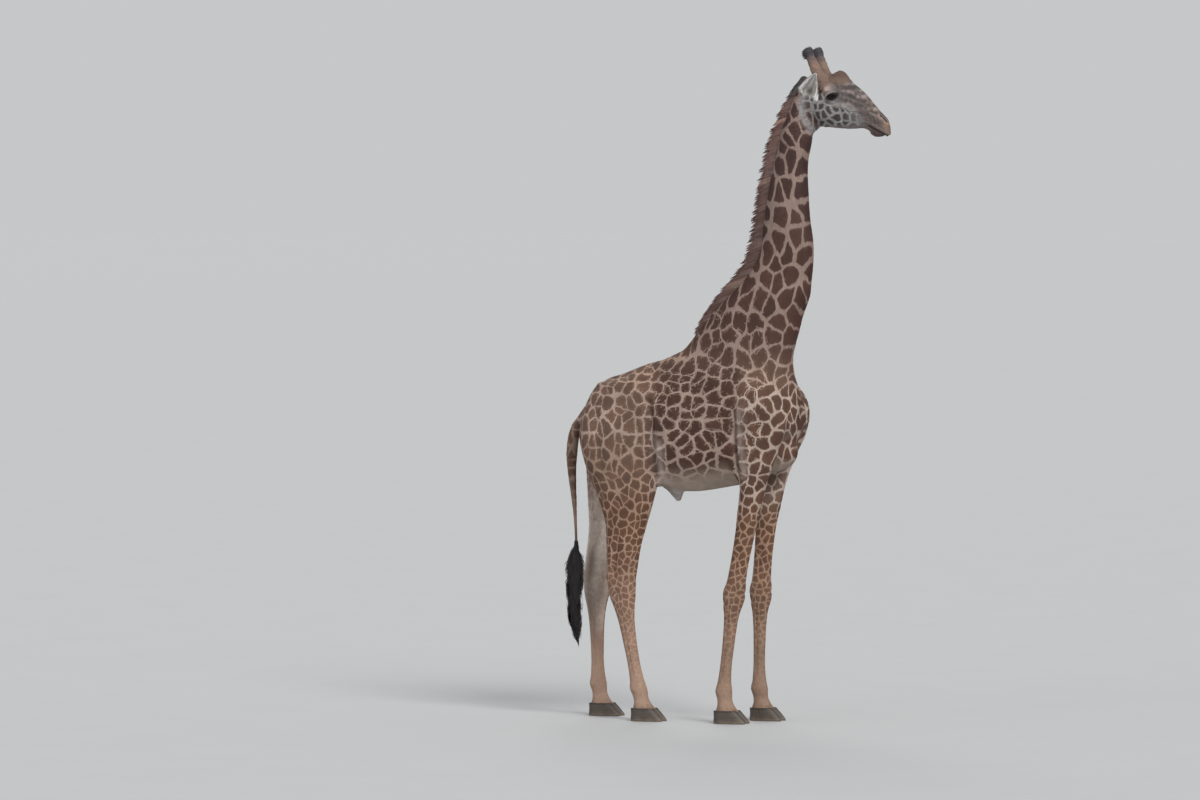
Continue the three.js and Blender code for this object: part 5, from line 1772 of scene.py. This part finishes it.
def trunk_share(points, fore):
    """How dense the tufts are on the fore or the hind half of the trunk, and 0 elsewhere."""
    x, z = points[:, 0], points[:, 2]
    return (z > LEG_TOP_CUT) * (z <= NECK_CUT) * ((x > FORE_CUT) == fore) * edge_of(points)


def neck_share(points):
    """How dense the tufts are on the neck, and 0 elsewhere."""
    return (points[:, 2] > NECK_CUT) * (1 - head_share(points)) * edge_of(points)


# The coat's pieces: name, tufts, where they grow, then length and width in mm and how far the tips
# rise, to their length.
COAT_PARTS = [
    ("coat_neck", 44000, neck_share, 15.0, 3.4, 0.16),
    ("coat_fore", 40000, lambda p: trunk_share(p, True), 15.0, 3.8, 0.15),
    ("coat_hind", 46000, lambda p: trunk_share(p, False), 15.0, 3.8, 0.15),
    ("coat_legs", 40000, lambda p: (p[:, 2] <= LEG_TOP_CUT) * 1.0, 10.0, 2.8, 0.14),
    ("coat_feet", 4200, lambda p: (p[:, 2] > ANKLE) * ramp(p[:, 2], 135, 100), 24.0, 3.6, 0.22),
    ("coat_head", 44000, lambda p: head_share(p) * bare(p), 6.0, 1.7, 0.15),
]
for part in COAT_PARTS:
    coat_tufts(*part)


# ---------------------------------------------------------------- stage
FLOOR_REACH = 900.0  # metres
MIDDLE = (0.1, 0.0, 2.4)  # the animal's middle, at which the lamps point
LAMPS = [  # name, place, how wide it is in degrees, strength and colour
    ("key", (11.0, -9.0, 13.0), 24, 2.3, (1.0, 0.98, 0.95)),
    ("fill", (-9.0, -14.0, 6.0), 32, 0.55, (0.95, 0.97, 1.0)),
    ("back", (-6.0, 12.0, 11.0), 30, 0.87, (1.0, 1.0, 1.0)),
]
SKY_COLOUR, SKY_STRENGTH = (0.86, 0.87, 0.88, 1), 0.66
CAMERA_PLACE, CAMERA_TARGET = (17.427, -43.828, 3.6), (-0.872, -0.239, 2.274)


def stage_scene():
    """A wide, pale, level floor under the feet."""
    angle = circle(128)
    mesh = bpy.data.meshes.new("floor")
    rim = [(FLOOR_REACH * np.cos(a), FLOOR_REACH * np.sin(a), 0.0) for a in angle]
    mesh.from_pydata(rim, [], [list(range(len(rim)))])
    material, s, shader = new_material("pale floor")
    noise = s.noise(s.object_place(), 1.5, 3.0)
    s.fill(shader, {"Base Color": s.mix(noise, (0.438, 0.444, 0.451), (0.457, 0.463, 0.470)),
                    "Roughness": 0.9, "Specular IOR Level": 0.1})
    mesh.materials.append(material)
    floor = bpy.data.objects.new("floor", mesh)
    bpy.context.scene.collection.objects.link(floor)


def soft_light(name, place, spread, strength, colour):
    """A far, wide lamp that shines from `place` towards the animal's middle; `spread`, in degrees,
    sets how soft its shadows are."""
    data = bpy.data.lights.new(name, "SUN")
    data.angle, data.energy, data.color = np.radians(spread), strength, colour
    lamp = bpy.data.objects.new(name, data)
    lamp.location = place
    lamp.rotation_euler = aim(place, MIDDLE)
    bpy.context.scene.collection.objects.link(lamp)


def aim(place, target):
    """The turn that points a lamp or a camera from a place at a target."""
    return (Vector(target) - Vector(place)).to_track_quat("-Z", "Y").to_euler()


stage_scene()
for lamp in LAMPS:
    soft_light(*lamp)
world = bpy.data.worlds.new("pale room")
world.use_nodes = True
sky = world.node_tree.nodes["Background"].inputs
sky[0].default_value, sky[1].default_value = SKY_COLOUR, SKY_STRENGTH
bpy.context.scene.world = world

camera = bpy.data.objects.new("camera", bpy.data.cameras.new("camera"))
camera.data.lens, camera.data.sensor_width = 200.0, 36.0
camera.data.clip_end = 2000.0
camera.location = CAMERA_PLACE
camera.rotation_euler = aim(CAMERA_PLACE, CAMERA_TARGET)
bpy.context.scene.collection.objects.link(camera)
bpy.context.scene.camera = camera
bpy.context.scene.view_settings.view_transform = "Standard"
